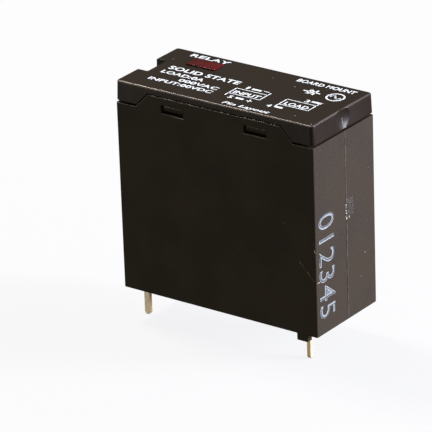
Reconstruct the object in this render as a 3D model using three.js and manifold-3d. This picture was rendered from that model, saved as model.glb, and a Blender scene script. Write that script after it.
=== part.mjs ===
// Solid state relay for a circuit board: a drafted case with a clip-on lid, a red indicator window,
// four blade terminals and the switching circuit on an upright board inside.
// Millimetres. X runs along the case (input end at -X, load end at +X), Y across it, +Z up.
// The origin is the middle of the case's underside, so the feet and terminals reach below zero.

import * as THREE from 'three';
import { mergeVertices } from 'three/addons/utils/BufferGeometryUtils.js';
import Module from 'manifold-3d';

const wasm = await Module();
wasm.setup();

// ---- Driving dimensions ------------------------------------------------------------------------

// Case and lid
const LENGTH = 29.0;
const WIDTH = 12.8;
const HEIGHT = 27.4;
const CASE_DRAFT = 0.04;
const LID_DRAFT = 0.07;
const WALL = 0.9;
const FLOOR = 1.0;
const LID_PLATE = 0.75;

// Parting line between case and lid: low over the ends, high along the middle, 45 degree steps.
// It stands open over the ends and is nearly shut along the middle.
const END_GAP = 0.3;
const MIDDLE_GAP = 0.12;
const SEAM_LOW = 24.7;
const SEAM_HIGH = 26.5;
const SEAM_STEP_X = 11.5;

// Snap windows in the long walls, and the lid hooks that fill them
const SNAP_X = 6.1;
const SNAP_WIDTH = 3.3;
const SNAP_LOW = 24.45;
const SNAP_TALL = 1.1;
const HOOK_WIDTH = 2.7;
const HOOK_LOW = 24.2;
const HOOK_THICK = 0.7;
const CATCH_DEEP = 0.7;
const CATCH_LIP = 0.35;
const LID_FIT = 0.15;
const RIM_DROP = 0.9;

// Lid details: pry notch in the input end, gate dish in the load end, window opening
const NOTCH_WIDTH = 3.9;
const NOTCH_DEEP = 1.6;
const NOTCH_FLOOR = 25.6;
const DISH_RADIUS = 1.55;
const DISH_DEEP = 0.35;
const DISH_Z = 26.4;
const WINDOW = { x: -8.05, y: 3.25, long: 4.2, wide: 2.1, proud: 0.15, flange: 0.4, fit: 0.05 };

// Feet under the case
const FOOT_TALL = 0.9;
const CORNER_FOOT = { x: 12.2, long: 1.6, deep: 0.95 };
const END_FOOT = { x: -13.4, long: 1.3, deep: 3.0 };

// Terminals: blades in two rows, the input pair lying along X, the load pair turned across it and
// set 5 mm apart along the case
const ROW_Y = 3.75;
const TIP_Z = -4.3;
const INPUT_BLADE = { x: -12.85, wide: 0.8, thick: 0.5 };
const LOAD_BLADE = { wide: 0.8, thick: 0.5 };
const LOAD_FRONT_X = 11.55;
const LOAD_BACK_X = 6.4;
const SLOT_CLEARANCE = 0.15;
const TAIL = 0.7;
const FRONT_ARM_Z = 4.4;
const BACK_ARM_Z = 6.6;

// Circuit board, upright on the centre plane
const BOARD = { long: 26.4, low: 3.2, high: 22.4, thick: 1.0 };
const GUIDE = { gap: 0.1, wide: 0.8, reach: 0.75, low: 8.0, high: 22.0 };
const HOLE_CLEARANCE = 0.12;

// Parts on the board. x and z are places on the board.
const COUPLER = { x: -3.8, z: 8.6, wide: 6.5, tall: 7.1, deep: 3.4, standoff: 0.5, pitch: 2.54, row: 7.62 };
const SPREADER = { x: 7.4, low: 10.0, high: 23.4, wide: 10.4, thick: 0.8 };
const TRIAC = { x: 7.4, low: 10.8, tall: 11.0, wide: 8.0, deep: 2.8, pitch: 2.29, hole: 1.6, holeUp: 7.4 };
const CAPACITOR = { x: 6.5, low: 9.6, long: 12.4, tall: 11.0, deep: 4.2, pitch: 10.0 };
const VARISTOR = { x: -2.9, z: 17.6, radius: 4.3, thick: 3.2, pitch: 5.0 };
const LED = { x: -8.05, y: 3.2, base: 20.4, tall: 4.9, radius: 1.5, pitch: 2.54 };
const AXIAL = { radius: 1.15, long: 6.3, wire: 0.3, span: 9.4 };
const DIODE = { radius: 0.95, long: 4.2, wire: 0.25, span: 7.2 };

const BOARD_FACE = BOARD.thick / 2;

// ---- Colours and finishes ----------------------------------------------------------------------

const finish = (color, roughness, metalness = 0) =>
  new THREE.MeshStandardMaterial({ color, roughness, metalness });

const casePlastic = finish(0x2c2522, 0.55);
const lidPlastic = finish(0x322a27, 0.5);
const redLens = finish(0x6d1420, 0.2);
const tinnedBrass = finish(0xb9b2a2, 0.35, 1);
const boardLaminate = finish(0x8a6a35, 0.7);
const packageEpoxy = finish(0x1c1c1e, 0.6);
const whiteEpoxy = finish(0xd8d6cc, 0.6);
const aluminium = finish(0xc0c2c4, 0.35, 1);
const tinnedWire = finish(0xc9c7c0, 0.3, 1);
const filmBox = finish(0xb98a2a, 0.5);
const discCoat = finish(0x2f6fb0, 0.5);
const resistorCoat = finish(0xbfa57a, 0.55);
const ledRed = finish(0xb3202a, 0.2);
const diodeGlass = finish(0x24201f, 0.4);

// ---- Shape helpers -----------------------------------------------------------------------------

function solid(geometry) {
  const bare = geometry.clone();
  bare.deleteAttribute('normal');
  bare.deleteAttribute('uv');
  const merged = mergeVertices(bare, 1e-5);
  const vertProperties = new Float32Array(merged.attributes.position.array);
  const triVerts = new Uint32Array(merged.index.array);
  return new wasm.Manifold(new wasm.Mesh({ numProp: 3, vertProperties, triVerts }));
}

function geometryOf(manifold) {
  const mesh = manifold.getMesh();
  const geometry = new THREE.BufferGeometry();
  geometry.setAttribute('position', new THREE.BufferAttribute(new Float32Array(mesh.vertProperties), 3));
  geometry.setIndex(new THREE.BufferAttribute(new Uint32Array(mesh.triVerts), 1));
  geometry.computeVertexNormals();
  return geometry;
}

function boxBetween(low, high) {
  const size = high.map((value, axis) => value - low[axis]);
  const middle = high.map((value, axis) => (value + low[axis]) / 2);
  return new THREE.BoxGeometry(...size).translate(...middle);
}

// A box whose four walls lean: its half sizes run from one pair at the bottom to another at the top.
function leaningBox(bottom, top, z0, z1) {
  const geometry = new THREE.BoxGeometry(2, 2, 1);
  const position = geometry.attributes.position;
  for (let i = 0; i < position.count; i += 1) {
    const atTop = position.getZ(i) > 0;
    const half = atTop ? top : bottom;
    position.setXYZ(i, position.getX(i) * half[0], position.getY(i) * half[1], atTop ? z1 : z0);
  }
  return geometry;
}

function outline(points) {
  return new THREE.Shape(points.map(([u, v]) => new THREE.Vector2(u, v)));
}

// An outline drawn in X and Z, pulled along Y from y0 to y1.
function alongY(shape, y0, y1, curveSegments = 12) {
  const geometry = new THREE.ExtrudeGeometry(shape, { depth: y1 - y0, bevelEnabled: false, curveSegments });
  return geometry.rotateX(Math.PI / 2).translate(0, y1, 0);
}

// An outline drawn in Y and Z, pulled along X from x0 to x1.
function alongX(shape, x0, x1, curveSegments = 12) {
  const geometry = new THREE.ExtrudeGeometry(shape, { depth: x1 - x0, bevelEnabled: false, curveSegments });
  geometry.rotateY(Math.PI / 2);
  geometry.rotateX(Math.PI / 2);
  return geometry.translate(x0, 0, 0);
}

// An outline drawn in X and Y, pulled up from z0 to z1.
function upwards(shape, z0, z1, curveSegments = 12) {
  const geometry = new THREE.ExtrudeGeometry(shape, { depth: z1 - z0, bevelEnabled: false, curveSegments });
  return geometry.translate(0, 0, z0);
}

function node(name, geometry, material) {
  const mesh = new THREE.Mesh(geometry, material);
  mesh.name = name;
  return mesh;
}

// ---- Case body ---------------------------------------------------------------------------------

const HALF_X = LENGTH / 2;
const HALF_Y = WIDTH / 2;
const CASE_LOW = SEAM_LOW - END_GAP / 2;
const CASE_TOP = SEAM_HIGH - MIDDLE_GAP / 2;
const LID_LOW = SEAM_LOW + END_GAP / 2;
const STRIP_LOW = SEAM_HIGH + MIDDLE_GAP / 2;
const STEP_SUM = SEAM_STEP_X + SEAM_LOW;

// X of the 45 degree seam step at height z; side is -1 under the seam and +1 above it.
function stepX(z, side) {
  return STEP_SUM + side * MIDDLE_GAP * Math.SQRT1_2 - z;
}

function guideRibs(sign) {
  const inner = sign * (HALF_X - WALL - GUIDE.reach);
  const outer = sign * (HALF_X - WALL / 2);
  const near = BOARD_FACE + GUIDE.gap;
  const low = Math.min(inner, outer);
  const high = Math.max(inner, outer);
  const ribs = [-1, 1].map((side) => {
    const y0 = side > 0 ? near : -near - GUIDE.wide;
    return solid(boxBetween([low, y0, GUIDE.low], [high, y0 + GUIDE.wide, GUIDE.high]));
  });
  return ribs[0].add(ribs[1]);
}

function feet() {
  const cornerY = HALF_Y - CASE_DRAFT;
  const shapes = [-1, 1].map((side) => {
    const y0 = side > 0 ? cornerY - CORNER_FOOT.deep : -cornerY;
    const low = [CORNER_FOOT.x - CORNER_FOOT.long / 2, y0, -FOOT_TALL];
    return boxBetween(low, [low[0] + CORNER_FOOT.long, y0 + CORNER_FOOT.deep, FLOOR / 2]);
  });
  const endLow = [END_FOOT.x - END_FOOT.long / 2, -END_FOOT.deep / 2, -FOOT_TALL];
  shapes.push(boxBetween(endLow, [endLow[0] + END_FOOT.long, END_FOOT.deep / 2, FLOOR / 2]));
  return shapes.map(solid);
}

function loadX(side) {
  return side < 0 ? LOAD_FRONT_X : LOAD_BACK_X;
}

function terminalSlots() {
  const slots = [];
  for (const side of [-1, 1]) {
    const places = [
      [INPUT_BLADE.x, INPUT_BLADE.wide / 2, INPUT_BLADE.thick / 2],
      [loadX(side), LOAD_BLADE.thick / 2, LOAD_BLADE.wide / 2],
    ];
    for (const [x, alongCase, acrossCase] of places) {
      const halfX = alongCase + SLOT_CLEARANCE;
      const halfY = acrossCase + SLOT_CLEARANCE;
      const y = side * ROW_Y;
      slots.push(solid(boxBetween([x - halfX, y - halfY, -1], [x + halfX, y + halfY, FLOOR + 1])));
    }
  }
  return slots;
}

function caseBody() {
  const bottom = [HALF_X - CASE_DRAFT, HALF_Y - CASE_DRAFT];
  const inside = (half) => half.map((value) => value - WALL);
  let body = solid(leaningBox(bottom, [HALF_X, HALF_Y], 0, CASE_TOP));
  body = body.subtract(solid(leaningBox(inside(bottom), inside([HALF_X, HALF_Y]), FLOOR, HEIGHT)));
  const over = HALF_X + 1;
  const stepTop = CASE_TOP + 1;
  for (const sign of [-1, 1]) {
    const cut = outline([
      [sign * stepX(CASE_LOW, -1), CASE_LOW],
      [sign * over, CASE_LOW],
      [sign * over, stepTop],
      [sign * stepX(stepTop, -1), stepTop],
    ]);
    body = body.subtract(solid(alongY(cut, -WIDTH, WIDTH)));
    body = body.add(guideRibs(sign));
    const x0 = sign * SNAP_X - SNAP_WIDTH / 2;
    const opening = boxBetween([x0, -WIDTH, SNAP_LOW], [x0 + SNAP_WIDTH, WIDTH, SNAP_LOW + SNAP_TALL]);
    body = body.subtract(solid(opening));
  }
  feet().forEach((foot) => {
    body = body.add(foot);
  });
  terminalSlots().forEach((slot) => {
    body = body.subtract(slot);
  });
  return node('case_body', geometryOf(body), casePlastic);
}

// ---- Lid ---------------------------------------------------------------------------------------

function windowHole(margin, z0, z1) {
  const halfX = WINDOW.long / 2 + margin;
  const halfY = WINDOW.wide / 2 + margin;
  return boxBetween([WINDOW.x - halfX, WINDOW.y - halfY, z0], [WINDOW.x + halfX, WINDOW.y + halfY, z1]);
}

// One hook: a springy arm inside the long wall, ending in a sloped catch that sits in the window.
function hook(x, side) {
  const outer = HALF_Y - WALL - LID_FIT;
  const inner = outer - HOOK_THICK;
  const ledge = SNAP_LOW + SNAP_TALL - LID_FIT;
  const profile = outline([
    [side * inner, HOOK_LOW],
    [side * outer, HOOK_LOW],
    [side * outer, SNAP_LOW + LID_FIT],
    [side * (outer + CATCH_DEEP), ledge - CATCH_LIP],
    [side * (outer + CATCH_DEEP), ledge],
    [side * outer, ledge],
    [side * outer, STRIP_LOW + LID_PLATE / 2],
    [side * inner, STRIP_LOW + LID_PLATE / 2],
  ]);
  return solid(alongX(profile, x - HOOK_WIDTH / 2, x + HOOK_WIDTH / 2));
}

// The rim under the plate that centres the lid between the long walls.
function locatingRim(side) {
  const outer = side * (HALF_Y - WALL - LID_FIT);
  const inner = side * (HALF_Y - WALL - LID_FIT - HOOK_THICK);
  const low = [-SEAM_STEP_X, Math.min(outer, inner), STRIP_LOW - RIM_DROP];
  return solid(boxBetween(low, [SEAM_STEP_X, Math.max(outer, inner), STRIP_LOW + LID_PLATE / 2]));
}

// The same rim across each end, which also closes the gap of the parting line from inside.
function endRim(sign) {
  const outer = sign * (HALF_X - WALL - LID_FIT);
  const inner = sign * (HALF_X - WALL - LID_FIT - HOOK_THICK);
  const reach = HALF_Y - WALL - LID_FIT;
  const low = [Math.min(outer, inner), -reach, LID_LOW - RIM_DROP];
  return solid(boxBetween(low, [Math.max(outer, inner), reach, HEIGHT - LID_PLATE / 2]));
}

function lid() {
  const top = [HALF_X - LID_DRAFT, HALF_Y - LID_DRAFT];
  let cover = solid(leaningBox([HALF_X, HALF_Y], top, LID_LOW, HEIGHT));
  const inside = boxBetween(
    [-(HALF_X - WALL), -(HALF_Y - WALL), LID_LOW - 1],
    [HALF_X - WALL, HALF_Y - WALL, HEIGHT - LID_PLATE],
  );
  cover = cover.subtract(solid(inside));
  const under = LID_LOW - 1;
  const middle = outline([
    [-stepX(under, 1), under],
    [stepX(under, 1), under],
    [stepX(STRIP_LOW, 1), STRIP_LOW],
    [-stepX(STRIP_LOW, 1), STRIP_LOW],
  ]);
  cover = cover.subtract(solid(alongY(middle, -WIDTH, WIDTH)));
  cover = cover.add(endRim(-1)).add(endRim(1));
  const backing = NOTCH_DEEP + WALL;
  cover = cover.add(solid(boxBetween(
    [-(HALF_X - WALL / 2), -(NOTCH_WIDTH / 2 + WALL), LID_LOW],
    [-(HALF_X - backing), NOTCH_WIDTH / 2 + WALL, HEIGHT - LID_PLATE / 2],
  )));
  cover = cover.subtract(solid(boxBetween(
    [-(HALF_X + 1), -NOTCH_WIDTH / 2, NOTCH_FLOOR],
    [-(HALF_X - NOTCH_DEEP), NOTCH_WIDTH / 2, HEIGHT + 1],
  )));
  const ball = (DISH_RADIUS ** 2 + DISH_DEEP ** 2) / (2 * DISH_DEEP);
  const dish = new THREE.SphereGeometry(ball, 64, 48).rotateZ(Math.PI / 2);
  cover = cover.subtract(solid(dish.translate(HALF_X - DISH_DEEP + ball, 0, DISH_Z)));
  for (const side of [-1, 1]) {
    cover = cover.add(locatingRim(side));
    for (const x of [-SNAP_X, SNAP_X]) {
      cover = cover.add(hook(x, side));
    }
  }
  const flange = WINDOW.flange + WINDOW.fit;
  cover = cover.subtract(solid(windowHole(0, LID_LOW, HEIGHT + 1)));
  cover = cover.subtract(solid(windowHole(flange, LID_LOW, HEIGHT - LID_PLATE)));
  return node('lid', geometryOf(cover), lidPlastic);
}

function indicatorWindow() {
  const plateLow = HEIGHT - LID_PLATE;
  const flangeTop = plateLow - WINDOW.fit;
  const lens = solid(windowHole(-WINDOW.fit, flangeTop - 0.3, HEIGHT + WINDOW.proud));
  const flange = solid(windowHole(WINDOW.flange, flangeTop - 0.6, flangeTop));
  return node('indicator_window', geometryOf(lens.add(flange)), redLens);
}

// ---- Terminals ---------------------------------------------------------------------------------

// A blade with a rounded tip, drawn with its width along the first axis, from the tip up to z1.
function bladeOutline(centre, wide, z1) {
  const half = wide / 2;
  const shape = new THREE.Shape();
  shape.moveTo(centre + half, z1);
  shape.lineTo(centre - half, z1);
  shape.lineTo(centre - half, TIP_Z + half);
  shape.absarc(centre, TIP_Z + half, half, Math.PI, 2 * Math.PI, false);
  return shape;
}

// Input terminals: a strip that stands in its row and folds towards the board.
function inputTerminal(name, side, armZ) {
  const half = INPUT_BLADE.thick / 2;
  const shank = alongY(bladeOutline(INPUT_BLADE.x, INPUT_BLADE.wide, armZ), -half, half, 6);
  const lead = solid(shank.translate(0, side * ROW_Y, 0));
  const armEnd = side * -(BOARD_FACE + TAIL);
  const armStart = side * (ROW_Y + half);
  const arm = boxBetween(
    [INPUT_BLADE.x - INPUT_BLADE.wide / 2, Math.min(armEnd, armStart), armZ - half],
    [INPUT_BLADE.x + INPUT_BLADE.wide / 2, Math.max(armEnd, armStart), armZ + half],
  );
  return node(name, geometryOf(lead.add(solid(arm))), tinnedBrass);
}

// Load terminals: a flat L stamped from strip, its face square to the board.
function loadTerminal(name, side, armZ) {
  const x0 = loadX(side) - LOAD_BLADE.thick / 2;
  const x1 = loadX(side) + LOAD_BLADE.thick / 2;
  const half = LOAD_BLADE.wide / 2;
  const shank = solid(alongX(bladeOutline(side * ROW_Y, LOAD_BLADE.wide, armZ + half), x0, x1, 6));
  const armEnd = side * -(BOARD_FACE + TAIL);
  const armStart = side * ROW_Y;
  const arm = boxBetween(
    [x0, Math.min(armEnd, armStart), armZ - half],
    [x1, Math.max(armEnd, armStart), armZ + half],
  );
  return node(name, geometryOf(shank.add(solid(arm))), tinnedBrass);
}

// ---- Circuit board -----------------------------------------------------------------------------

// Lead places on the board as [x, z, half size along x, half size along z].
function roundLead(x, z, wire) {
  return [x, z, wire, wire];
}

function boardLeads() {
  const leads = [];
  const inputHalf = [INPUT_BLADE.wide / 2, INPUT_BLADE.thick / 2];
  const loadHalf = [LOAD_BLADE.thick / 2, LOAD_BLADE.wide / 2];
  for (const [side, armZ] of [[-1, FRONT_ARM_Z], [1, BACK_ARM_Z]]) {
    leads.push([INPUT_BLADE.x, armZ, ...inputHalf]);
    leads.push([loadX(side), armZ, ...loadHalf]);
  }
  couplerPins().forEach(([x, z]) => leads.push([x, z, COUPLER_LEAD.thick / 2, COUPLER_LEAD.wide / 2]));
  triacLeadXs().forEach((x) => leads.push([x, TRIAC_LEAD.z, TRIAC_LEAD.wide / 2, TRIAC_LEAD.thick / 2]));
  for (const side of [-1, 1]) {
    leads.push(roundLead(CAPACITOR.x + side * CAPACITOR.pitch / 2, CAPACITOR_LEAD_Z, WIRE));
    leads.push(roundLead(VARISTOR.x + side * VARISTOR.pitch / 2, VARISTOR_LEAD_Z, WIRE));
    leads.push(roundLead(LED.x + side * LED.pitch / 2, LED_LEAD_Z, WIRE));
    AXIAL_PLACES.forEach((place) => leads.push(roundLead(...axialEnd(place, side), place.type.wire)));
  }
  return leads;
}

function circuitBoard() {
  const half = BOARD.long / 2;
  let board = solid(boxBetween([-half, -BOARD_FACE, BOARD.low], [half, BOARD_FACE, BOARD.high]));
  boardLeads().forEach(([x, z, halfX, halfZ]) => {
    const u = halfX + HOLE_CLEARANCE;
    const v = halfZ + HOLE_CLEARANCE;
    board = board.subtract(solid(boxBetween([x - u, -2, z - v], [x + u, 2, z + v])));
  });
  return node('circuit_board', geometryOf(board), boardLaminate);
}

// ---- Photocoupler ------------------------------------------------------------------------------

const COUPLER_LEAD = { wide: 0.5, thick: 0.25 };
const CONTACT = 0.05;

function couplerPins() {
  const pins = [];
  for (const side of [-1, 1]) {
    for (const step of [-1, 0, 1]) {
      pins.push([COUPLER.x + side * COUPLER.row / 2, COUPLER.z + step * COUPLER.pitch, side]);
    }
  }
  return pins;
}

function photocoupler() {
  const front = -(BOARD_FACE + COUPLER.standoff + COUPLER.deep);
  const halfX = COUPLER.wide / 2;
  const halfZ = COUPLER.tall / 2;
  const body = solid(boxBetween(
    [COUPLER.x - halfX, front, COUPLER.z - halfZ],
    [COUPLER.x + halfX, front + COUPLER.deep, COUPLER.z + halfZ],
  ));
  const dot = new THREE.CylinderGeometry(0.5, 0.5, 0.4, 24).translate(COUPLER.x - 2.3, front, COUPLER.z + 2.5);
  const parts = [node('photocoupler_body', geometryOf(body.subtract(solid(dot))), packageEpoxy)];
  const exitY = front + COUPLER.deep / 2;
  couplerPins().forEach(([x, z, side], index) => {
    const edge = COUPLER.x + side * (halfX + CONTACT);
    const farX = x + side * COUPLER_LEAD.thick / 2;
    const nearX = x - side * COUPLER_LEAD.thick / 2;
    const tail = BOARD_FACE + TAIL;
    const profile = outline([
      [edge, exitY],
      [farX, exitY],
      [farX, tail],
      [nearX, tail],
      [nearX, exitY + COUPLER_LEAD.thick],
      [edge, exitY + COUPLER_LEAD.thick],
    ]);
    const lead = upwards(profile, z - COUPLER_LEAD.wide / 2, z + COUPLER_LEAD.wide / 2);
    parts.push(node(`photocoupler_lead_${index + 1}`, lead, tinnedWire));
  });
  return parts;
}

// ---- Triac on its heat spreader ----------------------------------------------------------------

const SPREADER_BACK = -(BOARD_FACE + 0.2);
const SPREADER_FRONT = SPREADER_BACK - SPREADER.thick;
const TRIAC_BACK = SPREADER_FRONT - CONTACT;
const TRIAC_FRONT = TRIAC_BACK - TRIAC.deep;
const TRIAC_LEAD = { wide: 0.8, thick: 0.5, z: 7.9 };
const RIVET = { shank: 1.45, head: 2.4, headTall: 0.55, tailTall: 0.12 };

function triacLeadXs() {
  return [-1, 0, 1].map((step) => TRIAC.x + step * TRIAC.pitch);
}

function plateWithHole(x0, x1, z0, z1, hole, y0, y1) {
  const shape = outline([[x0, z0], [x1, z0], [x1, z1], [x0, z1]]);
  const round = new THREE.Path();
  round.absarc(hole.x, hole.z, hole.radius, 0, 2 * Math.PI, true);
  shape.holes.push(round);
  return alongY(shape, y0, y1, 20);
}

function triacParts() {
  const holeAt = { x: TRIAC.x, z: TRIAC.low + TRIAC.holeUp, radius: TRIAC.hole };
  const spreader = plateWithHole(
    SPREADER.x - SPREADER.wide / 2, SPREADER.x + SPREADER.wide / 2, SPREADER.low, SPREADER.high,
    holeAt, SPREADER_FRONT, SPREADER_BACK,
  );
  const body = plateWithHole(
    TRIAC.x - TRIAC.wide / 2, TRIAC.x + TRIAC.wide / 2, TRIAC.low, TRIAC.low + TRIAC.tall,
    holeAt, TRIAC_FRONT, TRIAC_BACK,
  );
  const headBase = TRIAC_FRONT - CONTACT;
  const rivet = new THREE.LatheGeometry([
    new THREE.Vector2(0, headBase - RIVET.headTall),
    new THREE.Vector2(RIVET.head * 0.7, headBase - RIVET.headTall),
    new THREE.Vector2(RIVET.head, headBase - 0.15),
    new THREE.Vector2(RIVET.head, headBase),
    new THREE.Vector2(RIVET.shank, headBase),
    new THREE.Vector2(RIVET.shank, SPREADER_BACK + RIVET.tailTall),
    new THREE.Vector2(0, SPREADER_BACK + RIVET.tailTall),
  ], 28);
  rivet.translate(TRIAC.x, 0, TRIAC.low + TRIAC.holeUp);
  const parts = [
    node('heat_spreader', spreader, aluminium),
    node('triac_package', body, packageEpoxy),
    node('triac_rivet', geometryOf(solid(rivet)), aluminium),
  ];
  const leadY = (TRIAC_BACK + TRIAC_FRONT) / 2;
  const halfThick = TRIAC_LEAD.thick / 2;
  triacLeadXs().forEach((x, index) => {
    const profile = outline([
      [leadY - halfThick, TRIAC.low - CONTACT],
      [leadY - halfThick, TRIAC_LEAD.z - halfThick],
      [BOARD_FACE + TAIL, TRIAC_LEAD.z - halfThick],
      [BOARD_FACE + TAIL, TRIAC_LEAD.z + halfThick],
      [leadY + halfThick, TRIAC_LEAD.z + halfThick],
      [leadY + halfThick, TRIAC.low - CONTACT],
    ]);
    const lead = alongX(profile, x - TRIAC_LEAD.wide / 2, x + TRIAC_LEAD.wide / 2);
    parts.push(node(`triac_lead_${index + 1}`, lead, tinnedWire));
  });
  return parts;
}

// ---- Wire-leaded parts -------------------------------------------------------------------------

const WIRE = 0.3;
const WIRE_TAIL = 0.4;
const CAPACITOR_LEAD_Z = 8.6;
const VARISTOR_LEAD_Z = VARISTOR.z - VARISTOR.radius - 0.7;
const LED_LEAD_Z = LED.base - 1.4;

// A round wire that leaves in one direction and bends once; corner is where its two legs would meet.
function bentWire(start, corner, end, radius) {
  const [a, b, c] = [start, corner, end].map((point) => new THREE.Vector3(...point));
  const bend = radius * 2.5;
  const intoBend = b.clone().add(a.clone().sub(b).setLength(bend));
  const outOfBend = b.clone().add(c.clone().sub(b).setLength(bend));
  const path = new THREE.CurvePath();
  path.add(new THREE.LineCurve3(a, intoBend));
  path.add(new THREE.QuadraticBezierCurve3(intoBend, b, outOfBend));
  path.add(new THREE.LineCurve3(outOfBend, c));
  const section = new THREE.Shape();
  section.absarc(0, 0, radius, 0, 2 * Math.PI, false);
  return new THREE.ExtrudeGeometry(section, { extrudePath: path, steps: 14, curveSegments: 4 });
}

function snubberCapacitor() {
  const y0 = BOARD_FACE + 0.3;
  const y1 = y0 + CAPACITOR.deep;
  const half = CAPACITOR.long / 2;
  const body = boxBetween(
    [CAPACITOR.x - half, y0, CAPACITOR.low],
    [CAPACITOR.x + half, y1, CAPACITOR.low + CAPACITOR.tall],
  );
  const parts = [node('snubber_capacitor', body, filmBox)];
  [-1, 1].forEach((side, index) => {
    const x = CAPACITOR.x + side * CAPACITOR.pitch / 2;
    const y = (y0 + y1) / 2;
    const wire = bentWire(
      [x, y, CAPACITOR.low - CONTACT], [x, y, CAPACITOR_LEAD_Z], [x, -(BOARD_FACE + WIRE_TAIL), CAPACITOR_LEAD_Z], WIRE,
    );
    parts.push(node(`snubber_capacitor_lead_${index + 1}`, wire, tinnedWire));
  });
  return parts;
}

function varistor() {
  const y1 = -(BOARD_FACE + 0.6);
  const y0 = y1 - VARISTOR.thick;
  const edge = VARISTOR.thick * 0.3;
  const disc = new THREE.LatheGeometry([
    new THREE.Vector2(0, y0),
    new THREE.Vector2(VARISTOR.radius - edge, y0),
    new THREE.Vector2(VARISTOR.radius, y0 + edge),
    new THREE.Vector2(VARISTOR.radius, y1 - edge),
    new THREE.Vector2(VARISTOR.radius - edge, y1),
    new THREE.Vector2(0, y1),
  ], 36);
  disc.translate(VARISTOR.x, 0, VARISTOR.z);
  const parts = [node('varistor_disc', geometryOf(solid(disc)), discCoat)];
  const y = (y0 + y1) / 2;
  const halfPitch = VARISTOR.pitch / 2;
  const rimZ = VARISTOR.z - Math.sqrt(VARISTOR.radius ** 2 - (halfPitch - WIRE) ** 2);
  [-1, 1].forEach((side, index) => {
    const x = VARISTOR.x + side * halfPitch;
    const wire = bentWire(
      [x, y, rimZ - CONTACT], [x, y, VARISTOR_LEAD_Z], [x, BOARD_FACE + WIRE_TAIL, VARISTOR_LEAD_Z], WIRE,
    );
    parts.push(node(`varistor_lead_${index + 1}`, wire, tinnedWire));
  });
  return parts;
}

function indicatorLamp() {
  const { radius, tall } = LED;
  const profile = [
    new THREE.Vector2(0, 0),
    new THREE.Vector2(radius + 0.25, 0),
    new THREE.Vector2(radius + 0.25, 0.8),
    new THREE.Vector2(radius, 0.8),
  ];
  const domeSteps = 6;
  for (let i = 0; i < domeSteps; i += 1) {
    const angle = (i / domeSteps) * (Math.PI / 2);
    profile.push(new THREE.Vector2(radius * Math.cos(angle), tall - radius + radius * Math.sin(angle)));
  }
  profile.push(new THREE.Vector2(0, tall));
  const lamp = new THREE.LatheGeometry(profile, 28).rotateX(Math.PI / 2).translate(LED.x, LED.y, LED.base);
  const parts = [node('indicator_led', geometryOf(solid(lamp)), ledRed)];
  [-1, 1].forEach((side, index) => {
    const x = LED.x + side * LED.pitch / 2;
    const wire = bentWire(
      [x, LED.y, LED.base - CONTACT], [x, LED.y, LED_LEAD_Z], [x, -(BOARD_FACE + WIRE_TAIL), LED_LEAD_Z], 0.25,
    );
    parts.push(node(`indicator_led_lead_${index + 1}`, wire, tinnedWire));
  });
  return parts;
}

// Axial parts lie along X, on the input half (back) or beside the load arms (front).
const AXIAL_PLACES = [
  { name: 'input_resistor', type: AXIAL, x: -6.4, z: 9.2, face: 1, coat: resistorCoat },
  { name: 'gate_resistor', type: AXIAL, x: -6.4, z: 13.4, face: 1, coat: resistorCoat },
  { name: 'snubber_resistor', type: AXIAL, x: 2.0, z: 5.2, face: 1, coat: resistorCoat },
  { name: 'input_diode', type: DIODE, x: -6.8, z: 5.2, face: 1, coat: diodeGlass },
];

function axialEnd(place, side) {
  return [place.x + side * place.type.span / 2, place.z];
}

function axialPart(place) {
  const { type, face } = place;
  const y = face * (BOARD_FACE + 0.3 + type.radius);
  const half = type.long / 2;
  const waist = type.radius * 0.86;
  const cap = type.long * 0.22;
  const body = new THREE.LatheGeometry([
    new THREE.Vector2(0, -half),
    new THREE.Vector2(waist, -half),
    new THREE.Vector2(type.radius, -half + 0.3),
    new THREE.Vector2(type.radius, -half + cap),
    new THREE.Vector2(waist, -half + cap + 0.3),
    new THREE.Vector2(waist, half - cap - 0.3),
    new THREE.Vector2(type.radius, half - cap),
    new THREE.Vector2(type.radius, half - 0.3),
    new THREE.Vector2(waist, half),
    new THREE.Vector2(0, half),
  ], 24).rotateZ(Math.PI / 2).translate(place.x, y, place.z);
  const parts = [node(place.name, geometryOf(solid(body)), place.coat)];
  [-1, 1].forEach((side, index) => {
    const [cornerX, z] = axialEnd(place, side);
    const start = [place.x + side * (half + CONTACT), y, z];
    const wire = bentWire(start, [cornerX, y, z], [cornerX, -face * (BOARD_FACE + WIRE_TAIL), z], type.wire);
    parts.push(node(`${place.name}_lead_${index + 1}`, wire, tinnedWire));
  });
  return parts;
}

// ---- Assembly ----------------------------------------------------------------------------------

const relay = new THREE.Group();
relay.add(caseBody());
relay.add(lid());
relay.add(indicatorWindow());
relay.add(inputTerminal('terminal_input_front', -1, FRONT_ARM_Z));
relay.add(inputTerminal('terminal_input_back', 1, BACK_ARM_Z));
relay.add(loadTerminal('terminal_load_front', -1, FRONT_ARM_Z));
relay.add(loadTerminal('terminal_load_back', 1, BACK_ARM_Z));
relay.add(circuitBoard());
relay.add(...photocoupler());
relay.add(...triacParts());
relay.add(...snubberCapacitor());
relay.add(...varistor());
relay.add(...indicatorLamp());
AXIAL_PLACES.forEach((place) => relay.add(...axialPart(place)));

export default relay;
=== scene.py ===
# %% [markdown]
# # A solid state relay for a circuit board
# The relay is a tall black moulded case with a clip-on lid, a red indicator window and four flat
# solder-dipped blades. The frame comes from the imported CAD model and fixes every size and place.
# Here the outer pieces are modelled again with rounded edges, and each finish is built from nodes.

# %% Load the frame
import math
from random import Random

import bpy
from mathutils import Matrix, Vector


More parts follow.
